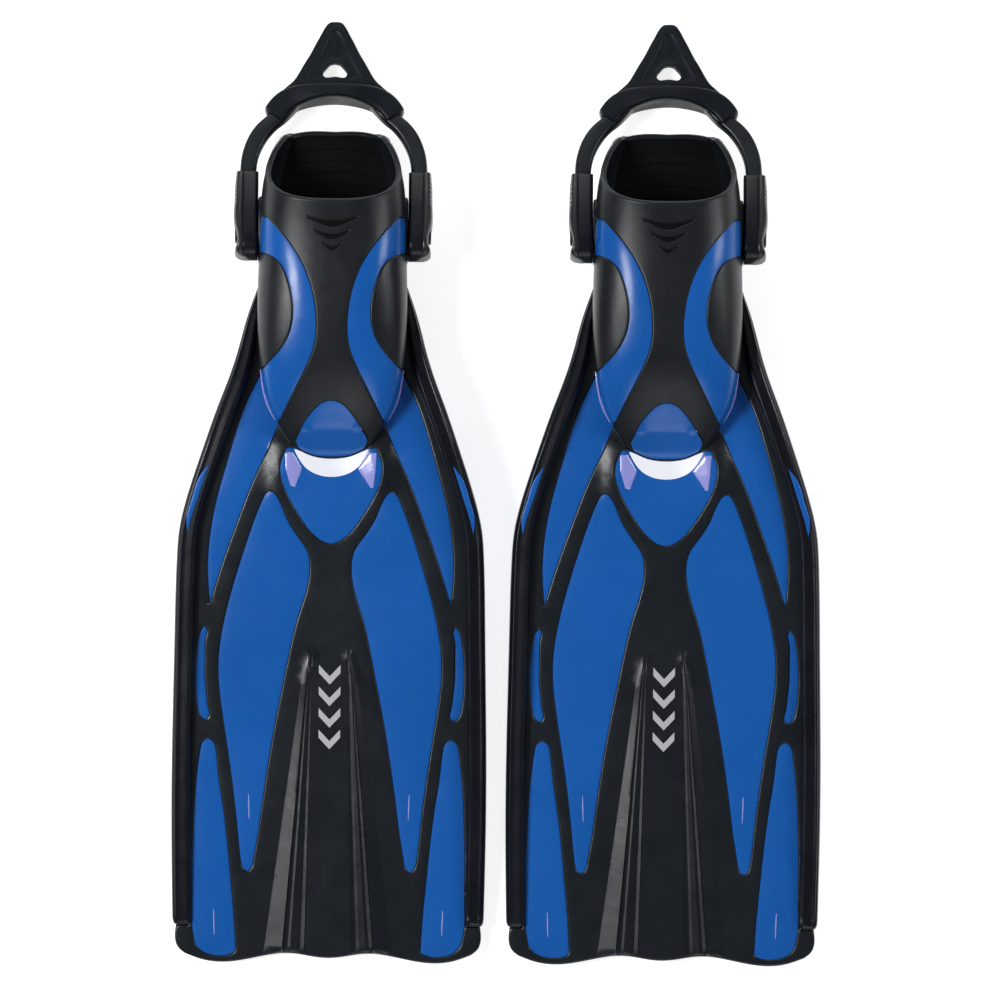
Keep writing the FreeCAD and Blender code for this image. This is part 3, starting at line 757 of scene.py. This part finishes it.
def pocket_domain(front=0.0, spacing=2.4):
    """The whole skin as a loop of (u, v), from the toe round the base to the rim."""
    us = np.arange(-U_BASE, U_BASE, spacing)
    side_v = float(rim_v(U_BASE)[0])
    return np.vstack([
        spline([(-U_BASE, front), (U_BASE, front)], 3.0)[:-1],
        spline([(U_BASE, front), (U_BASE, side_v)], 3.5)[:-1],
        np.column_stack([us, rim_v(us)])[::-1],
        spline([(-U_BASE, side_v), (-U_BASE, front)], 3.5)[1:-1],
    ])


def stripe_loop():
    """The blue stripe and toe side of one flank, as (u, v)."""
    inner = to_pocket(spline([
        (49.2, 202), (35.5, 187), (24.8, 172), (17.8, 157), (13.7, 142), (11.8, 124), (13.2, 108), (19.6, 91),
        (27, 76), (34.5, 61), (38.2, 53.5),
    ], 2.0))
    outer = to_pocket(spline([
        (50.5, 91), (44, 97.5), (37.4, 105), (29.8, 121), (29.1, 142), (33, 157), (38.5, 168), (46, 174),
        (54, 176.5),
    ], 2.0))
    low = U_BASE - 0.5
    toe = [inner[-1], (U_SIDE, v_of(50)), (low, v_of(48)), (low, v_of(84)), (U_SIDE, v_of(88.5)), outer[0]]
    tail = [outer[-1], (U_SIDE + 2, v_of(177)), (U_FRAME, v_of(178)), (U_FRAME, v_of(203)),
            (U_SIDE + 2, v_of(203.5)), inner[0]]
    toe, tail = ([spline(pair, 2.4)[:-1] for pair in zip(run, run[1:])] for run in (toe, tail))
    return np.vstack([inner[:-1], *toe, outer[:-1], *tail])


STRIPE = stripe_loop()
DOME_SIDE = [(0, 66.8), (5.5, 65.6), (11.4, 61.2), (22.6, 46), (26.4, 38.5)]
DOME_FRONT = [(24.2, 33), (14, 28), (0, 26.6)]
DOME = to_pocket(outline([
    flip(DOME_SIDE)[:-1] + DOME_SIDE + [DOME_FRONT[0]], DOME_FRONT + flip(DOME_FRONT)[1:],
    [flip(DOME_FRONT)[-1], flip(DOME_SIDE)[0]],
], 1.6))
POCKET_WINDOWS = [STRIPE, flipped(STRIPE), DOME]
FRAME_RECESS = 0.9

# Three shallow tapered grooves on the instep: y, half length, half width.
GROOVES = [(201, 20, 3.2), (191, 14, 2.8), (182, 8, 2.4)]
GROOVE_DEPTH = 1.0


def groove_loop(y, half, width):
    """One tapered groove across the instep, bowed towards the toe."""
    side = [(-half, y + 3), (-half * 0.5, y + 0.5), (0, y - 0.6), (half * 0.5, y + 0.5), (half, y + 3)]
    lower = [(x * 0.93, yy - width * (2 - abs(x) / half)) for x, yy in reversed(side)]
    return to_pocket(outline([side, [side[-1], lower[0]], lower, [lower[-1], side[0]]], 1.3))


GROOVE_LOOPS = [groove_loop(*groove) for groove in GROOVES]


def rim_path():
    """The middle line of the pocket's rim, over the instep and across the heel."""
    us = np.linspace(-U_BASE, U_BASE, 150)
    over = pocket_point(us, rim_v(us), 2.0)
    end = over[-1]
    reach = abs(end[0])
    half = spline([(reach, end[1]), (reach - 3.6, end[1] + 1.0), (24, 264.6), (0, 265)], 1.6)
    heel = np.vstack([half, half[::-1][1:] * np.array([-1, 1])]) * np.array([np.sign(end[0]), 1])
    lift = np.interp(np.abs(heel[:, 0]), [0, 26, reach], [0.8, 0.8, end[2] - float(floor_z(end[1]))])
    heel = np.column_stack([heel, floor_z(heel[:, 1]) + lift])
    return np.vstack([over, heel[1:-1]])


def build_pocket_rubber():
    """The rubber pocket: an outer layer open at the blue windows, a liner, and a rolled rim."""
    domain = pocket_domain()

    def keep(p):
        hit = inside(p, domain)
        for window in POCKET_WINDOWS:
            hit &= ~inside(p, window)
        return hit

    flat, triangles = triangulate([domain] + POCKET_WINDOWS + GROOVE_LOOPS, keep, (0.25, 0.9, 1.8), 4.4)
    groove = np.zeros(len(flat))
    for loop in GROOVE_LOOPS:
        groove = np.maximum(groove, np.where(inside(flat, loop), round_edge(distance(flat, [loop]), 1.0), 0))
    to_window = distance(flat, POCKET_WINDOWS)
    rise = -BAND_ROUND * (1 - round_edge(to_window, BAND_ROUND)) - GROOVE_DEPTH * groove
    outer = slab(flat, triangles, lambda p: on_pocket(p, rise), in_pocket(SKIN))
    liner = plug(pocket_domain(front=14.0, spacing=4.0), (2.0,), 8.0, in_pocket(SKIN), in_pocket(LINER))
    return merge(outer, liner, tube(rim_path(), RIM_BEAD, 12, closed=True))


def build_groove_shade():
    """Darker sheets on the floors of the instep's grooves: painted shade."""
    return merge(*[plug(inset(loop, 0.7), (0.5,), 2.4, lambda p, d: on_pocket(p, 0.1 - GROOVE_DEPTH),
                        lambda p, d: on_pocket(p, -1.6)) for loop in GROOVE_LOOPS])


def build_pocket_frame():
    """What shows of the hard frame: the side stripes, the toe and its dome."""
    def face(p, d):
        return on_pocket(p, -FRAME_RECESS + 0.55 * (1 - np.exp(-d / 4.0)))

    stripe, dome = (plug(window, (0.5, 1.5), 4.2, face, in_pocket(SKIN + 0.1)) for window in (STRIPE, DOME))
    return merge(stripe, mirror_mesh(stripe), dome)


def build_welt():
    """The thin welt where the toe meets the blade, in a pale colour that is a painted highlight."""
    count = 44
    vs = np.linspace(v_of(53), v_of(90), count)
    seam = pocket_point(np.full(count, U_SIDE), vs, -0.1)
    seam[:, 0] = np.abs(seam[:, 0])
    bead = tube(seam, 0.8 * np.sin(np.linspace(0.2, 2.94, count)) ** 0.5, 8)
    return merge(bead, mirror_mesh(bead))


LIP_LEFT = [(-34.2, 28.6), (-28.6, 29.2), (-21.4, 17.4), (-24.4, 9), (-26.6, 3.4), (-30, 4.6), (-33.8, 17)]
LIP_RIGHT = [(33.4, 28.8), (28.2, 29), (19.4, 17), (24.6, 10), (29.2, 3.2), (31.2, 3.4), (32.6, 15)]


def polygon(corners, spacing):
    """A closed loop with straight sides."""
    return outline(list(zip(corners, corners[1:] + corners[:1])), spacing)


def build_lips():
    """The two bevelled lips at the vent's ends, coloured pale as a painted reflection."""
    return merge(*[plug(
        polygon(corners, 1.1), (0.5,), 1.8,
        lambda p, d: on_floor(p, 0.72 + 0.35 * round_edge(d, 1.2) + scoop(p)),
        lambda p, d: on_floor(p, scoop(p) - 0.6)) for corners in (LIP_LEFT, LIP_RIGHT)])


# ---- sole
SOLE_EDGE = [
    (48.4, SOLE_JOIN_Y), (48.8, 190), (48, 215), (45.6, 240), (42.4, 256), (40.4, 262.5), (34, HEEL_Y),
]
TREAD = 1.6
TREAD_PITCH, TREAD_WIDTH = 11.0, 5.0
BAR_ENDS = ((-43.4, -22.6), (-20.8, 20.8), (22.6, 43.4))
HEEL_BLOCK_HALF = 34
HEEL_BLOCKS = ((236, 244.4), (245.8, 254.2), (255.6, 264))


def build_sole_plate():
    """The sole, with raised bowed ribs across its inside for the foot."""
    other = flip(SOLE_EDGE)
    loop = outline([SOLE_EDGE, [SOLE_EDGE[-1], other[0]], other, [other[-1], SOLE_EDGE[0]]])

    def soft(d):
        return 0.8 * (1 - round_edge(d, 1.2))

    plate = plug(loop, (0.4, 1.2), 4.0, lambda p, d: on_floor(p, -soft(d)),
                 lambda p, d: on_floor(p, -SOLE + soft(d)))
    ribs = []
    for y in np.arange(160, 262, 8.5):
        half = 36 - 4 * ((y - 200) / 60) ** 2
        line = spline([(-half, y - 3), (-half / 2, y), (0, y + 1.2), (half / 2, y), (half, y - 3)], 3.0)
        ribs.append(soft_rib(on_floor(line, 0.1), 0.55, 0.5))
    return merge(plate, *ribs)


BED_END_Y = 158.0


def build_foot_bed():
    """The dark lining of the pocket's floor, from the sole's join to the toe."""
    y = np.array([47.0, 50, 56, 64, 74, 88, 104, 122, 140, BED_END_Y])
    side = list(zip(0.8 * line_at(np.interp(y, Y_TABLE, V_TABLE))[1], y))
    other = flip(side)
    loop = outline([side, [side[-1], other[0]], other, [other[-1], side[0]]])

    def face(p, d):
        rise = BAND + 0.3 + 0.7 * round_edge(d, 4.0)
        ramp = 0.2 + (rise - 0.2) * np.clip((BED_END_Y - p[:, 1]) / 14, 0, 1)
        return on_floor(p, np.where(p[:, 1] > SOLE_JOIN_Y - 8, ramp, rise))

    return plug(loop, (0.8,), 5.0, face, lambda p, d: on_floor(p, -0.5))


def rounded_bar(x0, x1, y0, y1):
    """The outline of a bar with small rounded corners."""
    soft, turn = 1.4, 0.4
    return outline([
        [(x0 + soft, y0), (x1 - soft, y0)], [(x1 - soft, y0), (x1 - turn, y0 + turn), (x1, y0 + soft)],
        [(x1, y0 + soft), (x1, y1 - soft)], [(x1, y1 - soft), (x1 - turn, y1 - turn), (x1 - soft, y1)],
        [(x1 - soft, y1), (x0 + soft, y1)], [(x0 + soft, y1), (x0 + turn, y1 - turn), (x0, y1 - soft)],
        [(x0, y1 - soft), (x0, y0 + soft)], [(x0, y0 + soft), (x0 + turn, y0 + turn), (x0 + soft, y0)],
    ], 3.0)


def tread_bar(x0, x1, y0, y1, face):
    """One bar under the sole. face maps its lower side."""
    loop = rounded_bar(x0, x1, y0, y1)
    return turned(plug(loop, (0.4, 1.1), 6.0, face, lambda p, d: on_floor(p, -SOLE + 0.3)))


def build_tread():
    """Rounded bars across the sole and a flat grooved block under the heel."""
    def bar_face(p, d):
        return on_floor(p, -SOLE - TREAD * (0.5 + 0.5 * round_edge(d, 1.0)))

    def block_face(p, d):
        return np.column_stack([p, 0.7 * (1 - round_edge(d, 1.1))])

    starts = np.arange(SOLE_JOIN_Y + 0.6 * TREAD_PITCH, HEEL_BLOCKS[0][0] - TREAD_WIDTH, TREAD_PITCH)
    parts = [tread_bar(*ends, y, y + TREAD_WIDTH, bar_face) for y in starts for ends in BAR_ENDS]
    parts += [tread_bar(-HEEL_BLOCK_HALF, HEEL_BLOCK_HALF, *ends, block_face) for ends in HEEL_BLOCKS]
    return merge(*parts)


# ---- buckles, strap and heel pad
# Worked out in the strap's own plane: x across, s from the pivot towards the heel, n across the thickness.
BUCKLE_INNER, BUCKLE_SPLIT = 55.6, 68.4
BUCKLE_SKIN = along([(-20.5, 62), (-18.6, 68), (-11, 71.4), (4, 72.8), (22, 73.3), (36, 73), (46.5, 72)])
BUCKLE_HALF = along([
    (-20.5, 1.0), (-19, 5.4), (-17, 8.6), (-13, 11.6), (-6, 13), (8, 13), (28, 12), (46.5, 10),
])


def from_strap(points):
    """From the strap's plane to its place on the fin."""
    p = np.asarray(points, float)
    c, w = math.cos(STRAP_DROOP), math.sin(STRAP_DROOP)
    y, z = HINGE_Y + p[:, 1] * c + p[:, 2] * w, HINGE_Z - p[:, 1] * w + p[:, 2] * c
    return np.column_stack([p[:, 0], y, z])


def strap_part(*meshes):
    """Meshes in the strap's plane as one part in its place on the fin."""
    verts, faces = merge(*meshes)
    return from_strap(verts), faces


def buckle_rows(inner, outer, s_values, grow, squareness):
    """Rounded sections of one buckle shell between its inner and outer face."""
    wide, up = section(72, squareness)
    rows = []
    for s in s_values:
        a, b = inner(s), outer(s)
        half = (read(BUCKLE_HALF, s) + grow) * (1 - 0.175 * smooth_step(s, 45.6, 46.8))
        rows.append(np.column_stack([(a + b) / 2 + wide * (b - a) / 2, np.full(len(up), s), up * half]))
    return rows


def build_buckle():
    """The buckle's housing on the +X side."""
    s = np.concatenate([[-20.4, -20, -19.2, -18, -16.5], np.arange(-14, 44, 2.0), [44.6, 45.8, 46.4]])
    return strap_part(grid_mesh(buckle_rows(
        lambda v: BUCKLE_INNER, lambda v: min(BUCKLE_SPLIT, read(BUCKLE_SKIN, v) - 0.6), s, -0.35, 7.0)))


# The hub's rings: radius, and place across.
HUB = [(7.2, 70.6), (7.0, 72.0), (6.4, 72.5), (6.2, 72.4), (5.8, 72.0), (2.6, 72.0), (2.4, 71.5), (1.2, 71.4)]


def build_cover():
    """The cover on the buckle's outside, with a round hub, and grip ribs along its back half."""
    s = np.concatenate([
        [-19.4, -18.6, -17.4, -15.6], np.arange(-13, 20, 2.0), np.arange(20, 45.4, 0.6), [45.8, 46.3]])
    rows = buckle_rows(lambda v: min(BUCKLE_SPLIT - 3.4, read(BUCKLE_SKIN, v) - 4.5),
                       lambda v: read(BUCKLE_SKIN, v), s, 0.3, 3.4)
    for row in rows:
        at = row[:, 1]
        grip = smooth_step(at, 20, 22) * (1 - smooth_step(at, 43, 45))
        grip = grip * (0.5 + 0.5 * np.cos(at * 2 * np.pi / 3.6))
        outside = np.clip((row[:, 0] - 71) / 1.5, 0, 1)
        dish = 0.6 * np.exp(-((at + 2) / 8.5) ** 4) * np.clip(1 - (row[:, 2] / 8.5) ** 4, 0, 1)
        row[:, 0] -= outside * (0.75 * grip + dish)
    ring = np.column_stack(section(40, 2.0))
    hub = [np.column_stack([np.full(len(ring), x), r * ring]) for r, x in HUB]
    return strap_part(grid_mesh(rows), turned(grid_mesh(hub)))


# The boss from the pocket outwards: place across, and share of its full size.
BOSS = ((50.5, 1.0), (53.6, 1.0), (54.9, 0.98), (55.35, 0.93), (55.5, 0.86))


def build_boss():
    """The thickened pad on the pocket's side that the buckle turns against."""
    wide, up = section(64, 2 / 0.7)
    rows = []
    for x, grow in BOSS:
        rows.append(np.column_stack([
            np.full(len(up), x), HINGE_Y + 3 + wide * 25 * grow, HINGE_Z - 1 + up * 11.5 * grow]))
    return turned(grid_mesh(rows))


STRAP_OUTER = [
    (69.2, 19), (69.4, 47), (68.6, 58), (66.2, 68), (62, 77.5), (55, 86.5), (46, 94), (24, 109.6),
    (0, 111.4),
]
STRAP_INNER = [
    (57.4, 19), (57.4, 47), (56.4, 57), (53.6, 66), (48.8, 75), (42.2, 83), (36, 88.2), (20, 103.8),
    (0, 107.2),
]
STRAP_HALF = 7.0


def build_strap():
    """The elastic loop from buckle to buckle: a flat rounded band with a groove on its outside."""
    wide, up = section(56, 5.0)
    groove = np.where(wide > 0.6, 0.09 * np.exp(-(up / 0.28) ** 2), 0)
    return strap_part(grid_mesh([
        np.column_stack([(o + i) / 2 + (wide - groove)[:, None] * (o - i) / 2, up * STRAP_HALF])
        for o, i in zip(even(STRAP_OUTER, 240), even(STRAP_INNER, 240))]))


PAD_OUTER = [(53, 94), (50, 100), (45.5, 106), (37, 112), (22, 115), (0, 115.6)]
PAD_INNER = [(39.8, 84.6), (33, 94), (20, 101.5), (0, 105)]
PAD_HALF = along([(-56, 9.5), (-34, 11), (-16, 14.4), (0, 15), (16, 14.4), (34, 11), (56, 9.5)])
TAB_SIDE = [(41, 109.6), (36, 114.6), (30.5, 119.8), (26.8, 125.6), (22, 134.4), (18.2, 141), (13.9, 149.7),
            (10.4, 156.4), (6.6, 163.2), (4.2, 165.4), (0, 165.9)]
HOLE_SIDE = [(0, 133.2), (3.6, 132.2), (6.2, 129.4), (9, 124.6), (8.2, 122.9), (0, 122.7)]
TAB_HALF = 2.6
TAB_BASE = [(-33, 112), (-26, 108.5), (0, 110.4), (26, 108.5), (33, 112)]
TAB_FRAME = [[
    (21, 121.5), (15, 133), (8.6, 146.5), (3.8, 156.5), (0, 159.4), (-3.8, 156.5), (-8.6, 146.5),
    (-15, 133), (-21, 121.5)], [(-21, 121.5), (-10, 119.8), (0, 119.6), (10, 119.8), (21, 121.5),
]]


def pad_shell():
    """The curved shell that sits against the heel, with two soft lips along its outside."""
    wide, up = section(96, 5.5)
    lips = 0.14 * np.exp(-((up - 0.62) / 0.12) ** 2) + 0.1 * np.exp(-((up + 0.55) / 0.16) ** 2)
    rows = []
    count = 150
    for share, o, i in zip(np.linspace(0, 1, count), even(PAD_OUTER, count), even(PAD_INNER, count)):
        middle, half = (o + i) / 2, (o - i) / 2
        to_end = abs(share - 0.5) * 2
        end = 1 - 0.45 * smooth_step(to_end, 0.94, 1.0)
        reach = wide * end * (1 - lips * (1 - to_end ** 6) * (wide > 0.5))
        lean = 0.22 * np.clip(up, 0, 1) * (1 - to_end ** 2)
        height = up * read(PAD_HALF, middle[0]) * end
        rows.append(np.column_stack([middle + (reach - lean)[:, None] * half, height]))
    return grid_mesh(rows)


def pull_tab():
    """The pull tab behind the pad, with a sunk field inside its frame line and a lip round its hole."""
    loop = outline([TAB_SIDE + flip(TAB_SIDE)[1:], TAB_BASE], 1.6)
    hole = outline([HOLE_SIDE + flip(HOLE_SIDE)[1:]], 1.2)
    frame_line = outline(TAB_FRAME, 1.6)

    def keep(p):
        return inside(p, loop) & ~inside(p, hole)

    extra = ring_points([frame_line], (0.5, 1.2))[:, :2]
    flat, triangles = triangulate([loop, hole, frame_line], keep, (0.35, 0.9), 3.0, extra)
    x, y = flat[:, 0], flat[:, 1]
    dish = np.where(inside(flat, frame_line), 0.9 * smooth_step(distance(flat, [frame_line]), 0.2, 1.6), 0.0)
    lip = 0.8 * np.exp(-((distance(flat, [hole]) - 1.3) / 0.9) ** 2)
    apex = 1.1 * np.exp(-(x / 1.3) ** 2) * smooth_step(y, 139, 147) * (1 - smooth_step(y, 156, 160))
    height = TAB_HALF * (0.35 + 0.65 * round_edge(distance(flat, [loop]), 1.5))
    height = np.minimum(height - dish + np.minimum(lip + apex, 1.4), TAB_HALF)
    return slab(flat, triangles, lambda p: np.column_stack([p, height]),
                lambda p: np.column_stack([p, -height]))


def build_pad():
    """The heel pad with its pull tab."""
    return strap_part(pad_shell(), pull_tab())


# ---- a plain printed mark on the centre column
def build_mark():
    """Four stacked chevrons in place of lettering."""
    chevrons = [[(-8, y), (0, y - 8.5), (8, y), (8, y - 6), (0, y - 14.5), (-8, y - 6)]
                for y in (-128, -144, -160, -176)]
    return merge(*[plug(polygon(corners, 1.2), (0.5,), 2.0, lambda p, d: on_floor(p, BAND + 0.12),
                        lambda p, d: on_floor(p, BAND - 0.3)) for corners in chevrons])


# ---- materials
def put(node, **values):
    """Set a node's sockets. An underscore stands for a space in a socket's name."""
    for name, value in values.items():
        node.inputs[name.replace("_", " ")].default_value = value
    return node


def node_material(name, colour, roughness, build, coat=0.0, coat_roughness=0.1, metallic=0.0, specular=0.5):
    """A Principled material. build adds the surface detail to it."""
    material = bpy.data.materials.new(name)
    material.use_nodes = True
    tree = material.node_tree
    shader = put(tree.nodes["Principled BSDF"], Base_Color=(*colour, 1), Roughness=roughness,
                 Metallic=metallic, Coat_Weight=coat, Coat_Roughness=coat_roughness,
                 Specular_IOR_Level=specular)
    build(tree, shader, roughness)
    return material


def noise(tree, scale, detail, distort=0.0, squash=(1, 1, 1)):
    """A noise over the object's own coordinates."""
    place = tree.nodes.new("ShaderNodeTexCoord")
    mapping = put(tree.nodes.new("ShaderNodeMapping"), Scale=squash)
    texture = put(tree.nodes.new("ShaderNodeTexNoise"), Scale=scale, Detail=detail, Distortion=distort)
    tree.links.new(place.outputs["Object"], mapping.inputs["Vector"])
    tree.links.new(mapping.outputs["Vector"], texture.inputs["Vector"])
    return texture.outputs["Fac"]


def spread(tree, value, low, high):
    """The middle of a noise's range spread from low to high."""
    ramp = put(tree.nodes.new("ShaderNodeMapRange"), From_Min=0.3, From_Max=0.7, To_Min=low, To_Max=high)
    tree.links.new(value, ramp.inputs["Value"])
    return ramp.outputs["Result"]


def bump(tree, height, depth, below=None):
    """A bump of the given depth in metres, over the one below."""
    node = put(tree.nodes.new("ShaderNodeBump"), Strength=1.0, Distance=depth)
    tree.links.new(height, node.inputs["Height"])
    if below is not None:
        tree.links.new(below, node.inputs["Normal"])
    return node.outputs["Normal"]


def tinted(tree, shader, value, dark, light):
    """Mix the base colour between two tints by a value from 0 to 1."""
    mix = tree.nodes.new("ShaderNodeMix")
    mix.data_type = "RGBA"
    put(mix, A=(*dark, 1), B=(*light, 1))
    tree.links.new(value, mix.inputs["Factor"])
    tree.links.new(mix.outputs["Result"], shader.inputs["Base Color"])


def surface(grain, grain_depth, wave, wave_depth, rough_change, tone=None, squash=(1, 1, 1)):
    """Fine grain over long soft waves, with the roughness and colour a little uneven."""
    def build(tree, shader, roughness):
        slow = noise(tree, wave, 3.0)
        fine = noise(tree, grain, 5.0, 0.2, squash)
        uneven = spread(tree, noise(tree, 38.0, 6.0, 0.6), roughness - rough_change, roughness + rough_change)
        tree.links.new(uneven, shader.inputs["Roughness"])
        soft = bump(tree, slow, wave_depth)
        tree.links.new(bump(tree, fine, grain_depth, below=soft), shader.inputs["Normal"])
        if tone:
            tinted(tree, shader, spread(tree, noise(tree, 14.0, 3.0), 0, 1), *tone)
    return build


BLUE = node_material(
    "fin_blue", (0.006, 0.098, 0.40), 0.28,
    surface(900, 0.00004, 26, 0.0005, 0.05, ((0.005, 0.092, 0.375), (0.007, 0.104, 0.42))),
    coat=0.1, coat_roughness=0.18, specular=0.28)
# Pale lavender blue: painted highlight on the toe welt and the panel ribs, painted reflection on the vent
# lips.
BLUE_PAINTED_HIGHLIGHT = node_material(
    "fin_blue_painted_highlight", (0.30, 0.31, 0.72), 0.25, surface(900, 0.00003, 40, 0.0004, 0.05), coat=0.4,
)
RUBBER = node_material(
    "fin_rubber", (0.005, 0.008, 0.012), 0.3,
    surface(2600, 0.00006, 30, 0.0005, 0.04, ((0.004, 0.007, 0.010), (0.006, 0.009, 0.014))), specular=0.42)
INSTEP = node_material(
    "pocket_rubber", (0.006, 0.008, 0.012), 0.36,
    surface(2400, 0.00007, 30, 0.0005, 0.05, ((0.005, 0.007, 0.010), (0.008, 0.010, 0.014))), specular=0.36)
# Near-black, less shiny rubber for the groove floors: painted shade in the grooves.
GROOVE_SHADE_BLACK = node_material(
    "groove_painted_shade", (0.0015, 0.0015, 0.002), 0.5, surface(2400, 0.00005, 30, 0.0003, 0.06), specular=0.1)
INSOLE = node_material(
    "insole_black", (0.002, 0.002, 0.0025), 0.75, surface(1600, 0.0001, 30, 0.0004, 0.06), specular=0.12)
RAIL_BLACK = node_material(
    "rail_polymer", (0.003, 0.004, 0.008), 0.3,
    surface(1800, 0.00005, 22, 0.0005, 0.05, ((0.002, 0.003, 0.006), (0.004, 0.005, 0.010))), specular=0.34)
STRAP_BLACK = node_material(
    "strap_rubber", (0.006, 0.009, 0.013), 0.36, surface(2200, 0.00006, 40, 0.0005, 0.07), specular=0.38)
PAD_BLACK = node_material(
    "pad_rubber", (0.006, 0.009, 0.013), 0.42, surface(2000, 0.00007, 34, 0.0006, 0.07), specular=0.16)
TREAD_BLACK = node_material(
    "tread_rubber", (0.012, 0.012, 0.013), 0.62, surface(1500, 0.00012, 30, 0.0005, 0.08),
)
COVER_BLACK = node_material(
    "cover_black", (0.013, 0.015, 0.018), 0.3, surface(2400, 0.00003, 30, 0.0004, 0.06),
)
POST_BLACK = node_material(
    "post_polymer", (0.010, 0.010, 0.012), 0.35, surface(1800, 0.00004, 30, 0.0004, 0.06),
)
CLIP_STEEL = node_material(
    "clip_steel", (0.55, 0.56, 0.58), 0.25, surface(3000, 0.00002, 60, 0.0002, 0.05, squash=(1, 12, 1)),
    metallic=1.0,
)
PRINT_GREY = node_material("print_grey", (0.44, 0.45, 0.47), 0.5, surface(2600, 0.00005, 30, 0.0003, 0.06))
FLOOR = node_material(
    "floor_white", (0.6, 0.6, 0.6), 0.75, surface(400, 0.0001, 6, 0.0006, 0.05), specular=0.2,
)
put(FLOOR.node_tree.nodes["Principled BSDF"], Emission_Color=(1, 1, 1, 1), Emission_Strength=0.8)


# ---- the pieces on both fins
add("blade_plate", build_plate(), BLUE, nodes=["blade_plate"])
upper_mesh, lower_mesh = build_bands()
add("power_bands", upper_mesh, RUBBER, nodes=["power_bands"])
add("underside_bands", lower_mesh, RUBBER, nodes=["underside_bands"])
add("blade_mark", build_mark(), PRINT_GREY)

rail_mesh, insert_mesh = build_rail(), build_rail_insert()
inserts_mesh = merge(insert_mesh, mirror_mesh(insert_mesh))
add("rail_inserts", inserts_mesh, BLUE, nodes=["rail_inserts"])
add("pocket_frame", build_pocket_frame(), BLUE, nodes=["pocket_frame"])
# The welt's pale colour is a painted highlight along the toe's seam.
add("toe_welt", build_welt(), BLUE_PAINTED_HIGHLIGHT)
# The lips' pale colour is a painted reflection in the blue plastic at the vent's ends.
add("vent_lips", build_lips(), BLUE_PAINTED_HIGHLIGHT)
add("foot_pocket", build_pocket_rubber(), INSTEP, nodes=["foot_pocket"])
boss_mesh = build_boss()
add("strap_boss", merge(boss_mesh, mirror_mesh(boss_mesh)), RAIL_BLACK)
# The ribs' pale colour is a painted highlight.
add("panel_ribs", build_ribs(), BLUE_PAINTED_HIGHLIGHT)
# Painted shade: dark sheets on the floors of the instep's grooves.
add("instep_inlays", build_groove_shade(), GROOVE_SHADE_BLACK)
add("sole_plate", build_sole_plate(), INSOLE, nodes=["sole_plate"])
add("foot_bed", build_foot_bed(), INSOLE)
add("sole_tread", build_tread(), TREAD_BLACK, nodes=["sole_tread"])
add("heel_pad", build_pad(), PAD_BLACK, body="heel_pad", nodes=["heel_pad"])


def add_pair(name, mesh, material, body):
    """The same piece on both sides of each fin. Outer is the side away from the other fin."""
    for fin, outer_sign in (("left", -1), ("right", 1)):
        for side, sign in (("outer", outer_sign), ("inner", -outer_sign)):
            obj = piece(f"{name}_{side}", mesh if sign > 0 else mirror_mesh(mesh), material, fin)
            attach(obj, f"{fin}_{body}")
            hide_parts(f"{fin}_{name}_{side}")


add_pair("rail", rail_mesh, RAIL_BLACK, "fin")
add_pair("buckle", build_buckle(), RAIL_BLACK, "strap")
add_pair("buckle_cover", build_cover(), COVER_BLACK, "strap")

strap_mesh = build_strap()
for fin in FINS:
    strap = piece("strap", strap_mesh, STRAP_BLACK, fin)
    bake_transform(strap)
    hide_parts(f"{fin}_strap")

KEPT_NODES = (("strap_post", POST_BLACK), ("post_clip", CLIP_STEEL), ("strap_end", STRAP_BLACK))
for fin in FINS:
    for side in ("outer", "inner"):
        for node, material in KEPT_NODES:
            kept = bpy.data.objects[f"{fin}_{node}_{side}"]
            kept.data.materials.clear()
            kept.data.materials.append(material)


# ---- floor, lights and camera
scene = bpy.context.scene
floor_data = bpy.data.meshes.new("floor")
FLOOR_HALF, FLOOR_Z = 4.0, -0.0005
corners = [(x * FLOOR_HALF, y * FLOOR_HALF, FLOOR_Z) for x, y in ((-1, -1), (1, -1), (1, 1), (-1, 1))]
floor_data.from_pydata(corners, [], [(0, 1, 2, 3)])
floor_data.materials.append(FLOOR)
floor = bpy.data.objects.new("floor", floor_data)
scene.collection.objects.link(floor)


def area_light(name, place, size, power):
    """A square lamp that faces the fins' middle."""
    data = bpy.data.lights.new(name, "AREA")
    data.energy = power
    data.size = size
    light = bpy.data.objects.new(name, data)
    light.location = place
    light.rotation_euler = (-Vector(place)).to_track_quat("-Z", "Y").to_euler()
    scene.collection.objects.link(light)


area_light("key", (-1.75, 0.1, 2.5), 0.9, 66)
area_light("fill", (2.4, 0.6, 1.6), 0.9, 24)
area_light("low", (0.2, -2.6, 1.9), 1.3, 12)
area_light("back", (-0.2, 2.8, 1.7), 1.3, 15)

world = bpy.data.worlds.new("studio")
world.use_nodes = True
put(world.node_tree.nodes["Background"], Color=(1, 1, 1, 1), Strength=0.13)
scene.world = world
scene.view_settings.view_transform = "Standard"

VIEW_CENTRE = Vector((0.0012, -0.005, 0))
MIDDLE_HEIGHT = 0.04
CAMERA_RISE = 10.0
VIEW_WIDTH = 0.74
VIEW_TURN = math.radians(0.48)
camera_data = bpy.data.cameras.new("camera")
camera_data.sensor_width = 36
camera_data.lens = 36 * CAMERA_RISE / VIEW_WIDTH
camera_data.dof.use_dof = False
camera = bpy.data.objects.new("camera", camera_data)
camera.location = VIEW_CENTRE + Vector((0, 0, MIDDLE_HEIGHT + CAMERA_RISE))
camera.rotation_euler = (0, 0, VIEW_TURN)
scene.collection.objects.link(camera)
scene.camera = camera
